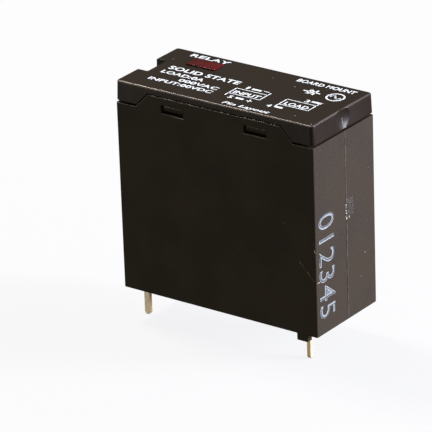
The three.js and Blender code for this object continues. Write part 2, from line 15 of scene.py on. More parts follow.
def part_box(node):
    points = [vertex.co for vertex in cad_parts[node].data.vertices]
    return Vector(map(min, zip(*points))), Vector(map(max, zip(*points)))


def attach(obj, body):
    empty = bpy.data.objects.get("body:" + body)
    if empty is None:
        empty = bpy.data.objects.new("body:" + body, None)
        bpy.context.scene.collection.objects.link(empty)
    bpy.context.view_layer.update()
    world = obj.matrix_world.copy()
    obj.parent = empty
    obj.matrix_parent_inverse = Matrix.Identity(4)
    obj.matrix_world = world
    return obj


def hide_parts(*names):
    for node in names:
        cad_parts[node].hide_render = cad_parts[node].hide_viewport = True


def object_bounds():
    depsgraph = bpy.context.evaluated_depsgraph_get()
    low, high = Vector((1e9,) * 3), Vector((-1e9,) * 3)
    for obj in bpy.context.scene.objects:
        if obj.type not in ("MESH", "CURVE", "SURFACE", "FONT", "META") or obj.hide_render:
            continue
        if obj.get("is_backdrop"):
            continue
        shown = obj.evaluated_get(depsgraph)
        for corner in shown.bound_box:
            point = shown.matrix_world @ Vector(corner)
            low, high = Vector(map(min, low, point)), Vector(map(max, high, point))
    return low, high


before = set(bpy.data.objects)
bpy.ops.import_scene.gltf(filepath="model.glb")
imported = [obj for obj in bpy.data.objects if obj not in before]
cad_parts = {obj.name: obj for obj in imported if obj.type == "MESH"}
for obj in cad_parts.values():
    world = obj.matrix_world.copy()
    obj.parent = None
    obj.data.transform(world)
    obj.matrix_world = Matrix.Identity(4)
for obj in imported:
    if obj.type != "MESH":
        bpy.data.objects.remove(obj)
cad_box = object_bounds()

MM = 0.001
BODY = "root"
print("CAD box in mm:", [[round(c / MM, 2) for c in corner] for corner in cad_box])

# %% [markdown]
# ## Working by hand in code
# A modelling operator acts on whatever is selected, and the CAD nodes arrive selected. So each
# helper first clears the selection, and faces and edges are then picked by place or direction.
# Sizes are written in millimetres and turned to metres at one point. A cutting tool reaches past
# the part it cuts, so that no two faces lie in one plane.

# %% Helpers for primitives and selection
PAST = 1          # how far a cutting tool reaches beyond the part
HAIR = 0.01       # a margin for picking faces and edges by their place
NEAR = 0.1        # a wider margin, where other edges are well away
SQUARE = 0.9      # a direction this close to an axis lies along it


def deselect_all():
    if bpy.context.object and bpy.context.object.mode != "OBJECT":
        bpy.ops.object.mode_set(mode="OBJECT")
    bpy.ops.object.select_all(action="DESELECT")


def make_active(piece):
    deselect_all()
    piece.select_set(True)
    bpy.context.view_layer.objects.active = piece
    return piece


def settle(piece):
    """Puts the place, turn and size of a primitive into its mesh, so its object sits at the origin."""
    make_active(piece)
    bpy.ops.object.transform_apply(location=True, rotation=True, scale=True)
    return piece


def add_block(name, low, high):
    """A box between two corners given in millimetres."""
    deselect_all()
    middle = [(a + b) / 2 * MM for a, b in zip(low, high)]
    size = [(b - a) * MM for a, b in zip(low, high)]
    bpy.ops.mesh.primitive_cube_add(size=1, location=middle)
    block = bpy.context.object
    block.name = name
    block.scale = size
    return settle(block)


def pick(piece, kind, test):
    """Selects faces or edges whose middle (mm) and direction pass the test, and enters edit mode."""
    make_active(piece)
    mesh = piece.data
    for group in (mesh.vertices, mesh.edges, mesh.polygons):
        group.foreach_set("select", [False] * len(group))
    if kind == "FACE":
        for face in mesh.polygons:
            face.select = bool(test(face.center / MM, face.normal))
    else:
        for edge in mesh.edges:
            start, end = (mesh.vertices[i].co for i in edge.vertices)
            edge.select = bool(test((start + end) / 2 / MM, (end - start).normalized()))
    bpy.ops.object.mode_set(mode="EDIT")
    bpy.ops.mesh.select_mode(type=kind)


def done():
    bpy.ops.object.mode_set(mode="OBJECT")


def round_edges(piece, test, radius, segments):
    pick(piece, "EDGE", test)
    bpy.ops.mesh.bevel(offset=radius * MM, segments=segments, profile=0.5, affect="EDGES")
    done()


def apply_modifier(piece, kind, **settings):
    make_active(piece)
    modifier = piece.modifiers.new(kind.title(), kind)
    for key, value in settings.items():
        setattr(modifier, key, value)
    bpy.ops.object.modifier_apply(modifier=modifier.name)


def combine(piece, tool, operation):
    """Joins, cuts or keeps the common part of two closed solids, and removes the tool."""
    apply_modifier(piece, "BOOLEAN", operation=operation, object=tool, solver="MANIFOLD")
    bpy.data.objects.remove(tool)


SHARP = math.radians(40)
CRISP = math.radians(50)


def soften(piece, radius, segments=3):
    """A narrow rounding on every sharp edge; roundings shade smooth and flats shade flat."""
    apply_modifier(
        piece, "BEVEL", width=radius * MM, segments=segments, limit_method="ANGLE",
        angle_limit=SHARP, use_clamp_overlap=False, harden_normals=False,
    )
    make_active(piece)
    bpy.ops.object.shade_smooth_by_angle(angle=CRISP)
    apply_modifier(piece, "WEIGHTED_NORMAL", keep_sharp=True, weight=100)


def triangles(piece):
    return sum(len(face.vertices) - 2 for face in piece.data.polygons)


def upright(place, direction):
    return abs(direction.z) > SQUARE


def up_facing(place, normal):
    return normal.z > SQUARE


def down_facing(place, normal):
    return normal.z < -SQUARE


def everything(place, direction):
    return True


# %% [markdown]
# ## Sizes taken from the frame
# The case, lid, window and blades keep the boxes of their CAD nodes. The few sizes inside those
# boxes, such as the wall and the parting line, are the maker's driving dimensions in millimetres.

# %% Frame places


def box_mm(node):
    low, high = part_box(node)
    return Vector(low) / MM, Vector(high) / MM


case_low, case_high = box_mm("case_body")
lid_high = box_mm("lid")[1]
HALF_X = case_high.x
HALF_Y = case_high.y
CASE_TOP = case_high.z
LID_TOP = lid_high.z
FOOT_BOTTOM = case_low.z
CASE_DRAFT = 0.04
LID_DRAFT = 0.07
WALL = 0.9
FLOOR = 1.0
LID_PLATE = 0.75
END_GAP = 0.3
MIDDLE_GAP = 0.12
SEAM_LOW = 24.7
SEAM_HIGH = CASE_TOP + MIDDLE_GAP / 2
CASE_END_TOP = SEAM_LOW - END_GAP / 2
LID_BOTTOM = SEAM_LOW + END_GAP / 2
STRIP_BOTTOM = SEAM_HIGH + MIDDLE_GAP / 2
STEP_X = 11.5
STEP_SUM = STEP_X + SEAM_LOW


def step_x(z, side):
    """X of the 45 degree step in the parting line at height z, below (-1) or above (+1) the seam."""
    return STEP_SUM + side * MIDDLE_GAP * math.sqrt(0.5) - z


print("case half size:", round(HALF_X, 2), round(HALF_Y, 2))
print("case top:", round(CASE_TOP, 2), "lid top:", round(LID_TOP, 2))

# %% [markdown]
# ## Camera
# The camera stands to the right of the front wall and looks down a little, from about half a
# metre, with a long lens, so the edges stay nearly parallel. It is placed by its turn around the
# relay, its height angle and a slight roll, and then slid sideways so the relay sits off centre.

# %% Camera
CAMERA_AZIMUTH = 36.46
CAMERA_ELEVATION = 23.32
CAMERA_ROLL = -1.97
CAMERA_DISTANCE = 531.7
CAMERA_SLIDE = Vector((3.719, 3.052))
FRAME_WIDTH = 52.48
SENSOR = 36.0
AIM = Vector((0, 0, 13.7))


def camera_axes(azimuth, elevation, roll):
    a, e, r = (math.radians(v) for v in (azimuth, elevation, roll))
    back = Vector((math.sin(a) * math.cos(e), -math.cos(a) * math.cos(e), math.sin(e)))
    level = Vector((0, 0, 1)).cross(back).normalized()
    up = back.cross(level)
    right = math.cos(r) * level + math.sin(r) * up
    return right, back.cross(right), back


right, up, back = camera_axes(CAMERA_AZIMUTH, CAMERA_ELEVATION, CAMERA_ROLL)
camera_data = bpy.data.cameras.new("camera")
camera_data.sensor_width = SENSOR
camera_data.lens = SENSOR * CAMERA_DISTANCE / FRAME_WIDTH
camera_data.clip_start = 0.01
camera_data.clip_end = 10
camera_data.dof.use_dof = False
camera = bpy.data.objects.new("camera", camera_data)
place = (AIM + back * CAMERA_DISTANCE - right * CAMERA_SLIDE.x - up * CAMERA_SLIDE.y) * MM
camera.matrix_world = Matrix.Translation(place) @ Matrix((right, up, back)).transposed().to_4x4()
bpy.context.scene.collection.objects.link(camera)
bpy.context.scene.camera = camera
print("camera lens in mm:", round(camera_data.lens, 1))

# %% [markdown]
# ## Case
# The real case is one injection moulding with slightly leaning walls, open at the top. It could be
# drawn as a profile and extruded, but box modelling keeps its faces flat and easy to round: a block
# is tapered, its long edges are rounded, and the inside and the stepped rim are cut by closed tools.

# %% Case: outer block and cavity
CASE_CORNER = 0.2
CASE_BASE_EDGE = 0.05
INNER_CORNER = 0.3


def taper(piece, test, draft):
    """Draws the top or bottom face in by the draft on each side."""
    pick(piece, "FACE", test)
    shrink = (1 - draft / HALF_X, 1 - draft / HALF_Y, 1)
    bpy.ops.transform.resize(value=shrink)
    done()


def wedge_tool(sign, z_low, z_high, x_low):
    """A block whose inner side leans at 45 degrees; it clears the rim over one end."""
    outer = HALF_X + 2 * PAST
    block = add_block("tool", (x_low, -HALF_Y - PAST, z_low), (outer, HALF_Y + PAST, z_high))
    pick(block, "EDGE", lambda p, d: abs(d.y) > SQUARE and p.x < outer - PAST and p.z > z_high - NEAR)
    bpy.ops.transform.translate(value=((z_low - z_high) * MM, 0, 0))
    done()
    if sign < 0:
        make_active(block)
        bpy.ops.transform.rotate(value=math.pi, orient_axis="Z", center_override=(0, 0, 0))
        settle(block)
    return block


case = add_block("case_moulding", (-HALF_X, -HALF_Y, 0), (HALF_X, HALF_Y, CASE_TOP))
taper(case, down_facing, CASE_DRAFT)
round_edges(case, upright, CASE_CORNER, 4)
round_edges(case, lambda p, d: p.z < HAIR, CASE_BASE_EDGE, 3)
inner_x, inner_y = HALF_X - WALL, HALF_Y - WALL
cavity = add_block("tool", (-inner_x, -inner_y, FLOOR), (inner_x, inner_y, CASE_TOP + PAST))
taper(cavity, down_facing, CASE_DRAFT)
round_edges(cavity, upright, INNER_CORNER, 4)
round_edges(cavity, lambda p, d: p.z < FLOOR + HAIR, INNER_CORNER, 3)
combine(case, cavity, "DIFFERENCE")
wedge_top = CASE_TOP + 2 * PAST
for sign in (1, -1):
    wedge = wedge_tool(sign, CASE_END_TOP, wedge_top, step_x(CASE_END_TOP, -1))
    combine(case, wedge, "DIFFERENCE")
print("case after its rim is cut:", triangles(case), "triangles")

# %% [markdown]
# ### Openings, feet and guides
# Two windows in each long wall catch the lid's hooks, and a slot in the floor lets each blade out.
# One block through both walls cuts a pair of windows, so they line up. Small feet hold the case off
# the board, and ribs inside guide the circuit board; both are blocks joined to the wall.

# %% Case: snap windows, terminal slots, feet and board guides
SNAP_X = 6.1
SNAP_WIDTH = 3.3
SNAP_LOW = 24.45
SNAP_TALL = 1.1
WINDOW_LIP = 0.12
SLOT_CLEARANCE = 0.15
SLOT_TOP = 2
BELOW_CASE = -0.5
FOOT_CORNER = 0.12
FOOT_INSET = 0.02
FOOT_ROOT = 0.5
CASE_EDGE = 0.045
CORNER_FOOT = {"x": 12.2, "long": 1.6, "deep": 0.95}
END_FOOT = {"x": -13.4, "long": 1.3, "deep": 3.0}
GUIDE = {"near": 0.6, "wide": 0.8, "reach": 0.75, "low": 8.0, "high": 22.0}
BLADES = ("terminal_input_front", "terminal_input_back", "terminal_load_front", "terminal_load_back")


def blade_section(node):
    """Centre and half size in X and Y of a blade where it leaves the case."""
    corners = [v.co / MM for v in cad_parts[node].data.vertices if v.co.z < BELOW_CASE * MM]
    low = [min(c[i] for c in corners) for i in range(2)]
    high = [max(c[i] for c in corners) for i in range(2)]
    return [(a + b) / 2 for a, b in zip(low, high)], [(b - a) / 2 for a, b in zip(low, high)]


def window_lip(p, d):
    """The outer lower edge of a snap window."""
    return abs(p.z - SNAP_LOW) < HAIR and abs(p.y) > HALF_Y - NEAR and abs(d.x) > SQUARE


def foot(x_middle, long, y_low, y_high):
    x_low = x_middle - long / 2
    block = add_block("tool", (x_low, y_low, FOOT_BOTTOM), (x_low + long, y_high, FOOT_ROOT))
    round_edges(block, upright, FOOT_CORNER, 5)
    return block


for x in (-SNAP_X, SNAP_X):
    low = (x - SNAP_WIDTH / 2, -HALF_Y - PAST, SNAP_LOW)
    high = (x + SNAP_WIDTH / 2, HALF_Y + PAST, SNAP_LOW + SNAP_TALL)
    combine(case, add_block("tool", low, high), "DIFFERENCE")
round_edges(case, window_lip, WINDOW_LIP, 3)
for node in BLADES:
    (x, y), (half_x, half_y) = blade_section(node)
    half_x += SLOT_CLEARANCE
    half_y += SLOT_CLEARANCE
    slot_tool = add_block("tool", (x - half_x, y - half_y, -PAST), (x + half_x, y + half_y, SLOT_TOP))
    combine(case, slot_tool, "DIFFERENCE")
    print(node, "leaves the case at", [round(v, 2) for v in (x, y)])
foot_y = HALF_Y - CASE_DRAFT - FOOT_INSET
for side in (-1, 1):
    near, far = sorted((side * foot_y, side * (foot_y - CORNER_FOOT["deep"])))
    combine(case, foot(CORNER_FOOT["x"], CORNER_FOOT["long"], near, far), "UNION")
half = END_FOOT["deep"] / 2
combine(case, foot(END_FOOT["x"], END_FOOT["long"], -half, half), "UNION")
for sign in (-1, 1):
    for side in (-1, 1):
        xs = sorted((sign * (inner_x - GUIDE["reach"]), sign * (inner_x + WALL / 2)))
        ys = sorted((side * GUIDE["near"], side * (GUIDE["near"] + GUIDE["wide"])))
        rib = add_block("tool", (xs[0], ys[0], GUIDE["low"]), (xs[1], ys[1], GUIDE["high"]))
        combine(case, rib, "UNION")
soften(case, CASE_EDGE)
print("case:", triangles(case), "triangles")

# %% [markdown]
# ## Lid
# The lid is a second moulding. Its ends hang lower than its middle, so the parting line steps down
# at 45 degrees, and its corners are rounder than the case's. It could be lofted, but a block that is
# hollowed from below and cut by one wedge-sided tool gives the straight steps exactly.

# %% Lid: shell
LID_CORNER = 0.45
LID_TOP_EDGE = 0.2
NOTCH = {"half": 1.95, "deep": 1.6, "floor": 25.6}
DISH = {"radius": 1.55, "deep": 0.35, "z": 26.4}
HOOK = {"wide": 2.9, "arm": 3.7, "low": 24.2, "thick": 0.7, "reach": 0.8, "fit": 0.15}
RIM_DROP = 0.9
LID_EDGE = 0.06

lid = add_block("lid_moulding", (-HALF_X, -HALF_Y, LID_BOTTOM), (HALF_X, HALF_Y, LID_TOP))
taper(lid, up_facing, LID_DRAFT)
round_edges(lid, upright, LID_CORNER, 7)
round_edges(lid, lambda p, d: p.z > LID_TOP - HAIR, LID_TOP_EDGE, 5)
under = LID_BOTTOM - PAST
hollow = add_block("tool", (-inner_x, -inner_y, under), (inner_x, inner_y, LID_TOP - LID_PLATE))
round_edges(hollow, upright, INNER_CORNER, 3)
combine(lid, hollow, "DIFFERENCE")
under_x = step_x(under, 1)
middle = add_block("tool", (-under_x, -HALF_Y - PAST, under), (under_x, HALF_Y + PAST, STRIP_BOTTOM))
pick(middle, "FACE", up_facing)
bpy.ops.transform.resize(value=(step_x(STRIP_BOTTOM, 1) / under_x, 1, 1))
done()
combine(lid, middle, "DIFFERENCE")
print("lid shell:", triangles(lid), "triangles")

# %% [markdown]
# ### Rim and hooks
# A thin rim under the lid centres it in the case, and four springy arms beside it carry the catches
# that snap into the windows. One arm with its catch is a function, called for each place, because
# the four differ only in their side and their place along the wall.

# %% Lid: rim and hooks
CATCH_ROUND = 0.25
ROOT = 0.3        # how far an arm or a corner runs into its neighbour


def hook_tool(x, side):
    """A springy arm with a rounded catch, which sits in a window of the long wall."""
    outer = HALF_Y - WALL - HOOK["fit"]
    ledge = SNAP_LOW + SNAP_TALL - HOOK["fit"]
    ys = sorted((side * (outer - HOOK["thick"]), side * outer))
    half = HOOK["arm"] / 2
    arm = add_block("tool", (x - half, ys[0], HOOK["low"]), (x + half, ys[1], STRIP_BOTTOM + ROOT))
    half = HOOK["wide"] / 2
    ys = sorted((side * (outer - 2 * NEAR), side * (outer + HOOK["reach"])))
    catch = add_block("tool", (x - half, ys[0], SNAP_LOW + HOOK["fit"]), (x + half, ys[1], ledge))

    def lower_outer(p, d):
        return p.z < SNAP_LOW + ROOT and side * p.y > outer + ROOT and abs(d.x) > SQUARE

    round_edges(catch, lower_outer, CATCH_ROUND, 3)
    combine(arm, catch, "UNION")
    return arm


rim_x, rim_y = inner_x - HOOK["fit"], inner_y - HOOK["fit"]
rim_top = LID_TOP - LID_PLATE + NEAR
rim = add_block("tool", (-rim_x, -rim_y, LID_BOTTOM - RIM_DROP), (rim_x, rim_y, rim_top))
round_edges(rim, upright, INNER_CORNER, 3)
core_x, core_y = rim_x - HOOK["thick"], rim_y - HOOK["thick"]
combine(rim, add_block("tool", (-core_x, -core_y, 0), (core_x, core_y, LID_TOP)), "DIFFERENCE")
room = HOOK["arm"] / 2 + HOOK["fit"]
for x in (-SNAP_X, SNAP_X):
    gap = add_block("tool", (x - room, -HALF_Y, 0), (x + room, HALF_Y, STRIP_BOTTOM))
    combine(rim, gap, "DIFFERENCE")
combine(lid, rim, "UNION")
for side in (-1, 1):
    for x in (-SNAP_X, SNAP_X):
        combine(lid, hook_tool(x, side), "UNION")
print("lid with rim and hooks:", triangles(lid), "triangles")

# %% [markdown]
# ### Notch, gate dish and window opening
# A pry notch is cut into one end of the lid, over a backing wall that keeps the inside closed. The
# other end has a shallow dish around the mould's gate, which is the cap of a large ball. The opening
# for the window is a hole with a wider pocket under it for the lens's flange.

# %% Lid: notch, gate dish and window opening
window_low, window_high = box_mm("indicator_window")
WINDOW_FLANGE = 0.4
WINDOW_FIT = 0.05
NOTCH_CORNER = 0.2
notch_wall = NOTCH["half"] + WALL
backing_x = HALF_X - NOTCH["deep"]
backing_low = (-HALF_X + WALL / 2, -notch_wall, LID_BOTTOM)
backing_high = (-backing_x + WALL, notch_wall, LID_TOP - LID_PLATE / 2)
combine(lid, add_block("tool", backing_low, backing_high), "UNION")
notch_low = (-HALF_X - PAST, -NOTCH["half"], NOTCH["floor"])
notch = add_block("tool", notch_low, (-backing_x, NOTCH["half"], LID_TOP + PAST))
round_edges(notch, lambda p, d: upright(p, d) and p.x > -backing_x - NEAR, NOTCH_CORNER, 4)
combine(lid, notch, "DIFFERENCE")
ball = (DISH["radius"] ** 2 + DISH["deep"] ** 2) / (2 * DISH["deep"])
deselect_all()
bpy.ops.mesh.primitive_uv_sphere_add(
    segments=96, ring_count=64, radius=ball * MM,
    location=((HALF_X - DISH["deep"] + ball) * MM, 0, DISH["z"] * MM), rotation=(0, math.pi / 2, 0),
)
combine(lid, settle(bpy.context.object), "DIFFERENCE")
inset = WINDOW_FLANGE - WINDOW_FIT
hole_low = Vector((window_low.x + inset, window_low.y + inset, LID_BOTTOM))
hole_high = Vector((window_high.x - inset, window_high.y - inset, LID_TOP + PAST))
combine(lid, add_block("tool", hole_low, hole_high), "DIFFERENCE")
reach = WINDOW_FLANGE + WINDOW_FIT
pocket_low = (hole_low.x - reach, hole_low.y - reach, LID_BOTTOM)
pocket_high = (hole_high.x + reach, hole_high.y + reach, LID_TOP - LID_PLATE)
combine(lid, add_block("tool", pocket_low, pocket_high), "DIFFERENCE")
soften(lid, LID_EDGE)
print("lid:", triangles(lid), "triangles")

# %% [markdown]
# ## Indicator window
# The window is a clear red lens pushed up into the lid from below until its flange meets the plate.
# One block at the flange's size is inset and extruded up to the lens's size, and its edges are
# rounded, which gives both steps from a single closed mesh.

# %% Indicator window
LENS_EDGE = 0.07
window = add_block("window_lens", window_low, (window_high.x, window_high.y, LID_TOP - LID_PLATE))
pick(window, "FACE", up_facing)
bpy.ops.mesh.inset(thickness=WINDOW_FLANGE * MM)
lens_rise = window_high.z - LID_TOP + LID_PLATE
bpy.ops.mesh.extrude_region_move(TRANSFORM_OT_translate={"value": (0, 0, lens_rise * MM)})
done()
soften(window, LENS_EDGE, 4)
print("window lens:", triangles(window), "triangles, top at", round(window_high.z, 2))

# %% [markdown]
# ## Print on the lid
# The lid carries pad-printed white lettering, a pin sketch and two marks. The words here are plain
# trade words and the marks are circuit symbols. Text objects give the letters; each line is turned to
# a mesh, fitted to its place on the lid and given the slight thickness of the ink.

# %% Helpers for printing
INK_THICK = 0.02
INK_SINK = 0.005
INK_MIDDLE = LID_TOP + INK_THICK / 2 - INK_SINK
STROKE = 0.13
LETTER_SPACING = 1.06


def flat_text(words, bold, shear=0.0):
    """A line of text as a flat-topped closed mesh, one unit thick, lying in X and Y."""
    deselect_all()
    bpy.ops.object.text_add(location=(0, 0, 0))
    line = bpy.context.object
    line.data.body = words
    line.data.size = 1
    line.data.resolution_u = 6
    line.data.shear = shear
    line.data.offset = bold
    line.data.extrude = 0.5
    line.data.space_character = LETTER_SPACING
    bpy.ops.object.convert(target="MESH")
    return bpy.context.object


def fit_text(line, left, right, baseline, height):
    """Stretches a text mesh to its width and capital height, and lays it on the lid."""
    corners = [v.co for v in line.data.vertices]
    low_x, high_x = min(c.x for c in corners), max(c.x for c in corners)
    high_y = max(c.y for c in corners)
    stretch = ((right - left) / (high_x - low_x), height / high_y, INK_THICK)
    line.scale = [s * MM for s in stretch]
    line.location = [(left - low_x * stretch[0]) * MM, baseline * MM, INK_MIDDLE * MM]
    return settle(line)


def add_bar(x0, y0, x1, y1, wide=STROKE):
    """A printed straight stroke between two points on the lid."""
    deselect_all()
    start, end = Vector((x0, y0, 0)), Vector((x1, y1, 0))
    middle = (start + end) / 2
    middle.z = INK_MIDDLE
    turn = math.atan2(end.y - start.y, end.x - start.x)
    bpy.ops.mesh.primitive_cube_add(size=1, location=middle * MM, rotation=(0, 0, turn))
    bar = bpy.context.object
    bar.scale = ((end - start).length * MM + wide * MM / 2, wide * MM, INK_THICK * MM)
    return settle(bar)


def add_frame(x0, y0, x1, y1):
    corners = [(x0, y0), (x1, y0), (x1, y1), (x0, y1)]
    return [add_bar(*corners[i], *corners[(i + 1) % 4]) for i in range(4)]


def add_ring(x, y, radius, wide=STROKE):
    """A printed circle: a torus pressed flat to the thickness of the ink."""
    deselect_all()
    centre = (x * MM, y * MM, INK_MIDDLE * MM)
    bpy.ops.mesh.primitive_torus_add(
        major_radius=radius * MM, minor_radius=wide / 2 * MM, major_segments=48, minor_segments=8,
        location=centre,
    )
    ring = bpy.context.object
    pick(ring, "FACE", everything)
    bpy.ops.transform.resize(value=(1, 1, INK_THICK / wide), center_override=centre)
    done()
    return settle(ring)


def join(name, pieces):
    deselect_all()
    for piece in pieces:
        piece.select_set(True)
    bpy.context.view_layer.objects.active = pieces[0]
    bpy.ops.object.join()
    joined = bpy.context.object
    joined.name = name
    return settle(joined)


# %% Lid lettering
# Each line is its words, then left, right, baseline and capital height in mm, and its lean.
BOLD = 0.02
WORDS = (
    ("RELAY", -11.4, -5.7, 4.75, 0.85, 0.0),
    ("SOLID STATE", -11.3, -0.85, 0.0, 1.0, 0.0),
    ("LOAD:0A", -11.35, -5.1, -1.45, 0.85, 0.0),
    ("000VAC", -7.8, -2.05, -2.75, 0.8, 0.0),
    ("INPUT:00VDC", -11.4, -2.05, -4.0, 0.8, 0.0),
    ("Pin Layout", 0.85, 7.6, -5.75, 0.65, 0.25),
    ("BOARD MOUNT", 4.5, 12.9, 4.65, 0.85, 0.0),
    ("INPUT", 0.1, 3.85, -2.45, 0.85, 0.0),
    ("LOAD", 7.4, 10.75, -2.3, 0.85, 0.0),
    ("1", 0.7, 1.02, -0.55, 0.75, 0.0),
    ("5", 0.4, 0.95, -4.0, 0.75, 0.0),
    ("3", 9.1, 9.65, -0.4, 0.75, 0.0),
    ("4", 5.95, 6.55, -3.9, 0.75, 0.0),
)
printed = [fit_text(flat_text(words, BOLD, shear), *spot) for words, *spot, shear in WORDS]
print("printed lines:", len(printed), "with", sum(triangles(p) for p in printed), "triangles")

# %% [markdown]
# ### Pin sketch and circuit symbols
# Beside the words stand a sketch of the pins, a diode and a circle with a wave. They could be curves
# with a bevel, but straight bars and one flattened torus print the same and stay closed meshes.

# %% Pin sketch and circuit symbols
# Each stroke runs from x, y to x, y in mm from the relay's middle, and the last number is its width.
THICK_STROKE = 0.42
MARK_STROKE = 0.22
FRAMES = ((-0.3, -2.7, 4.25, -0.95), (6.95, -2.55, 11.15, -0.75))
PIN_STROKES = (
    (1.6, -0.25, 2.7, -0.25, THICK_STROKE), (3.15, -0.1, 3.85, -0.1, STROKE),
    (1.5, -3.55, 2.4, -3.55, THICK_STROKE), (3.0, -3.6, 3.75, -3.6, STROKE),
    (3.37, -3.95, 3.37, -3.25, STROKE), (10.05, 0.1, 11.2, 0.1, THICK_STROKE),
    (7.1, -3.42, 8.0, -3.42, THICK_STROKE), (4.25, -1.0, 4.25, -0.3, STROKE),
    (-0.3, -2.7, -0.3, -3.4, STROKE), (11.15, -0.8, 11.15, 0.1, STROKE),
    (6.95, -2.55, 6.95, -3.4, STROKE),
)
DIODE_STROKES = (
    (7.0, 2.65, 9.3, 2.65), (7.75, 1.95, 7.75, 3.35), (7.75, 3.3, 8.65, 2.65),
    (7.75, 2.0, 8.65, 2.65), (8.65, 1.95, 8.65, 3.35),
)
RING = {"x": 11.55, "y": 2.7, "radius": 1.1}
WAVE = {"steps": 8, "long": 1.5, "high": 0.4}


def wave_point(step):
    turn = step / WAVE["steps"]
    rise = WAVE["high"] * math.sin(turn * 2 * math.pi)
    return RING["x"] + turn * WAVE["long"] - WAVE["long"] / 2, RING["y"] + rise


for corners in FRAMES:
    printed += add_frame(*corners)
printed += [add_bar(*stroke) for stroke in PIN_STROKES]
printed += [add_bar(*stroke, MARK_STROKE) for stroke in DIODE_STROKES]
printed.append(add_ring(RING["x"], RING["y"], RING["radius"], MARK_STROKE))
for step in range(WAVE["steps"]):
    printed.append(add_bar(*wave_point(step), *wave_point(step + 1), MARK_STROKE))
lid_print = join("lid_print", printed)
print("lid print:", triangles(lid_print), "triangles")

# %% [markdown]
# ## Code on the end wall
# A row of large characters is stamped down the load end in pale blue ink. A rubber stamp squeezes
# ink to the rim of each stroke, so every digit has a dense outline and a thinner middle. Two text
# meshes are laid over each other for this, a bold one for the rim and a narrower one for the middle.

# %% End wall code
CODE_TOP = 15.5
CODE_BOTTOM = 2.0
CODE_LOW_Y = -5.65
CODE_HIGH_Y = -2.45
RIM_BOLD = 0.002
FILL_BOLD = -0.026
FILL_LAYER = 0.004


def end_wall_x(z):
    return HALF_X - CASE_DRAFT * (1 - z / CASE_TOP)


def stamp(name, bold, layer):
    """Digits that read down the end wall, with their tops towards the back."""
    line = flat_text("012345", bold)
    corners = [v.co for v in line.data.vertices]
    low = [min(c[i] for c in corners) for i in range(2)]
    high = [max(c[i] for c in corners) for i in range(2)]
    sides = (CODE_TOP - CODE_BOTTOM, CODE_HIGH_Y - CODE_LOW_Y)
    stretch = [side / (h - l) for side, h, l in zip(sides, high, low)]
    place = Matrix((
        (0, 0, INK_THICK, end_wall_x(CODE_TOP / 2) + layer),
        (0, stretch[1], 0, CODE_LOW_Y - low[1] * stretch[1]),
        (-stretch[0], 0, 0, CODE_TOP + low[0] * stretch[0]),
        (0, 0, 0, 1),
    ))
    lean = Matrix.Identity(4)
    lean[0][2] = CASE_DRAFT / CASE_TOP
    lean[0][3] = -CASE_DRAFT / CASE_TOP * CODE_TOP / 2
    line.data.transform(Matrix.Scale(MM, 4) @ lean @ place)
    line.name = name
    return line


code_rim = stamp("code_rim", RIM_BOLD, 0)
code_fill = stamp("code_fill", FILL_BOLD, FILL_LAYER)
print("end code:", triangles(code_rim) + triangles(code_fill), "triangles")

# %% [markdown]
# ## Mould marks on the end wall
# The two halves of the mould meet along the middle of the end wall and leave a fine raised line,
# and the gate where plastic flowed in was broken off and left a rough patch. A bump in the finish
# would not catch the light at the outline, so each is a small mesh roughened by seeded random moves.

# %% Witness line and gate scar
WITNESS_Y = 0.25
WITNESS_HALF = 0.05
WITNESS_PROUD = 0.02
WITNESS_LOW = 0.4
GATE_LOW = Vector((0.1, 13.3))
GATE_HIGH = Vector((1.75, 15.7))
GATE_PROUD = 0.06
GATE_LEAST = 0.2
GATE_SUNK = 0.02
GATE_THICK = 0.1
SEED = 7
mix = Random(SEED)


def roughen(piece, amounts):
    for vertex in piece.data.vertices:
        vertex.co += Vector(mix.uniform(-a, a) for a in amounts) * MM


def cut_into(piece, count, direction):
    """Adds rings of vertices along a long piece by cutting it across with planes."""
    low = min(v.co @ direction for v in piece.data.vertices)
    high = max(v.co @ direction for v in piece.data.vertices)
    for i in range(1, count):
        pick(piece, "FACE", everything)
        spot = direction * (low + (high - low) * i / count)
        bpy.ops.mesh.bisect(plane_co=spot, plane_no=direction)
        done()


witness = add_block(
    "witness_line", (HALF_X - NEAR, WITNESS_Y - WITNESS_HALF, WITNESS_LOW),
    (HALF_X + WITNESS_PROUD, WITNESS_Y + WITNESS_HALF, CASE_END_TOP - NEAR),
)
cut_into(witness, 40, Vector((0, 0, 1)))
roughen(witness, (0.012, 0.012, 0))
deselect_all()
bpy.ops.mesh.primitive_grid_add(x_subdivisions=26, y_subdivisions=34, size=1, location=(0, 0, 0))
gate_scar = bpy.context.object
gate_scar.name = "gate_scar"
gate_size = GATE_HIGH - GATE_LOW
gate_middle = (GATE_LOW + GATE_HIGH) / 2
gate_scar.data.transform(Matrix.Rotation(math.pi / 2, 4, "Y"))
for vertex in gate_scar.data.vertices:
    inside = 1 - 2 * max(abs(vertex.co.y), abs(vertex.co.z))
    rise = GATE_PROUD * (GATE_LEAST + mix.uniform(0, 1) ** 2) if inside > HAIR else -GATE_SUNK
    y = gate_middle.x + vertex.co.y * gate_size.x
    z = gate_middle.y + vertex.co.z * gate_size.y
    vertex.co = Vector((end_wall_x(z) + rise, y, z)) * MM
roughen(gate_scar, (0, 0.03, 0.03))
apply_modifier(gate_scar, "SOLIDIFY", thickness=GATE_THICK * MM, offset=-1)
print("gate scar:", triangles(gate_scar), "triangles")

# %% [markdown]
# ### Gate streak in the dish
# The lid's gate was snapped off inside the dish and left a thin upright streak of torn plastic. It is
# a bar whose outer face is pressed back onto the dish's curve, so it stands out evenly all along.

# %% Gate streak
VESTIGE = {"y": 0.15, "half": 0.09, "low": 25.0, "high": 26.2, "proud": 0.03, "root": 0.7}
VESTIGE_EDGE = 0.02


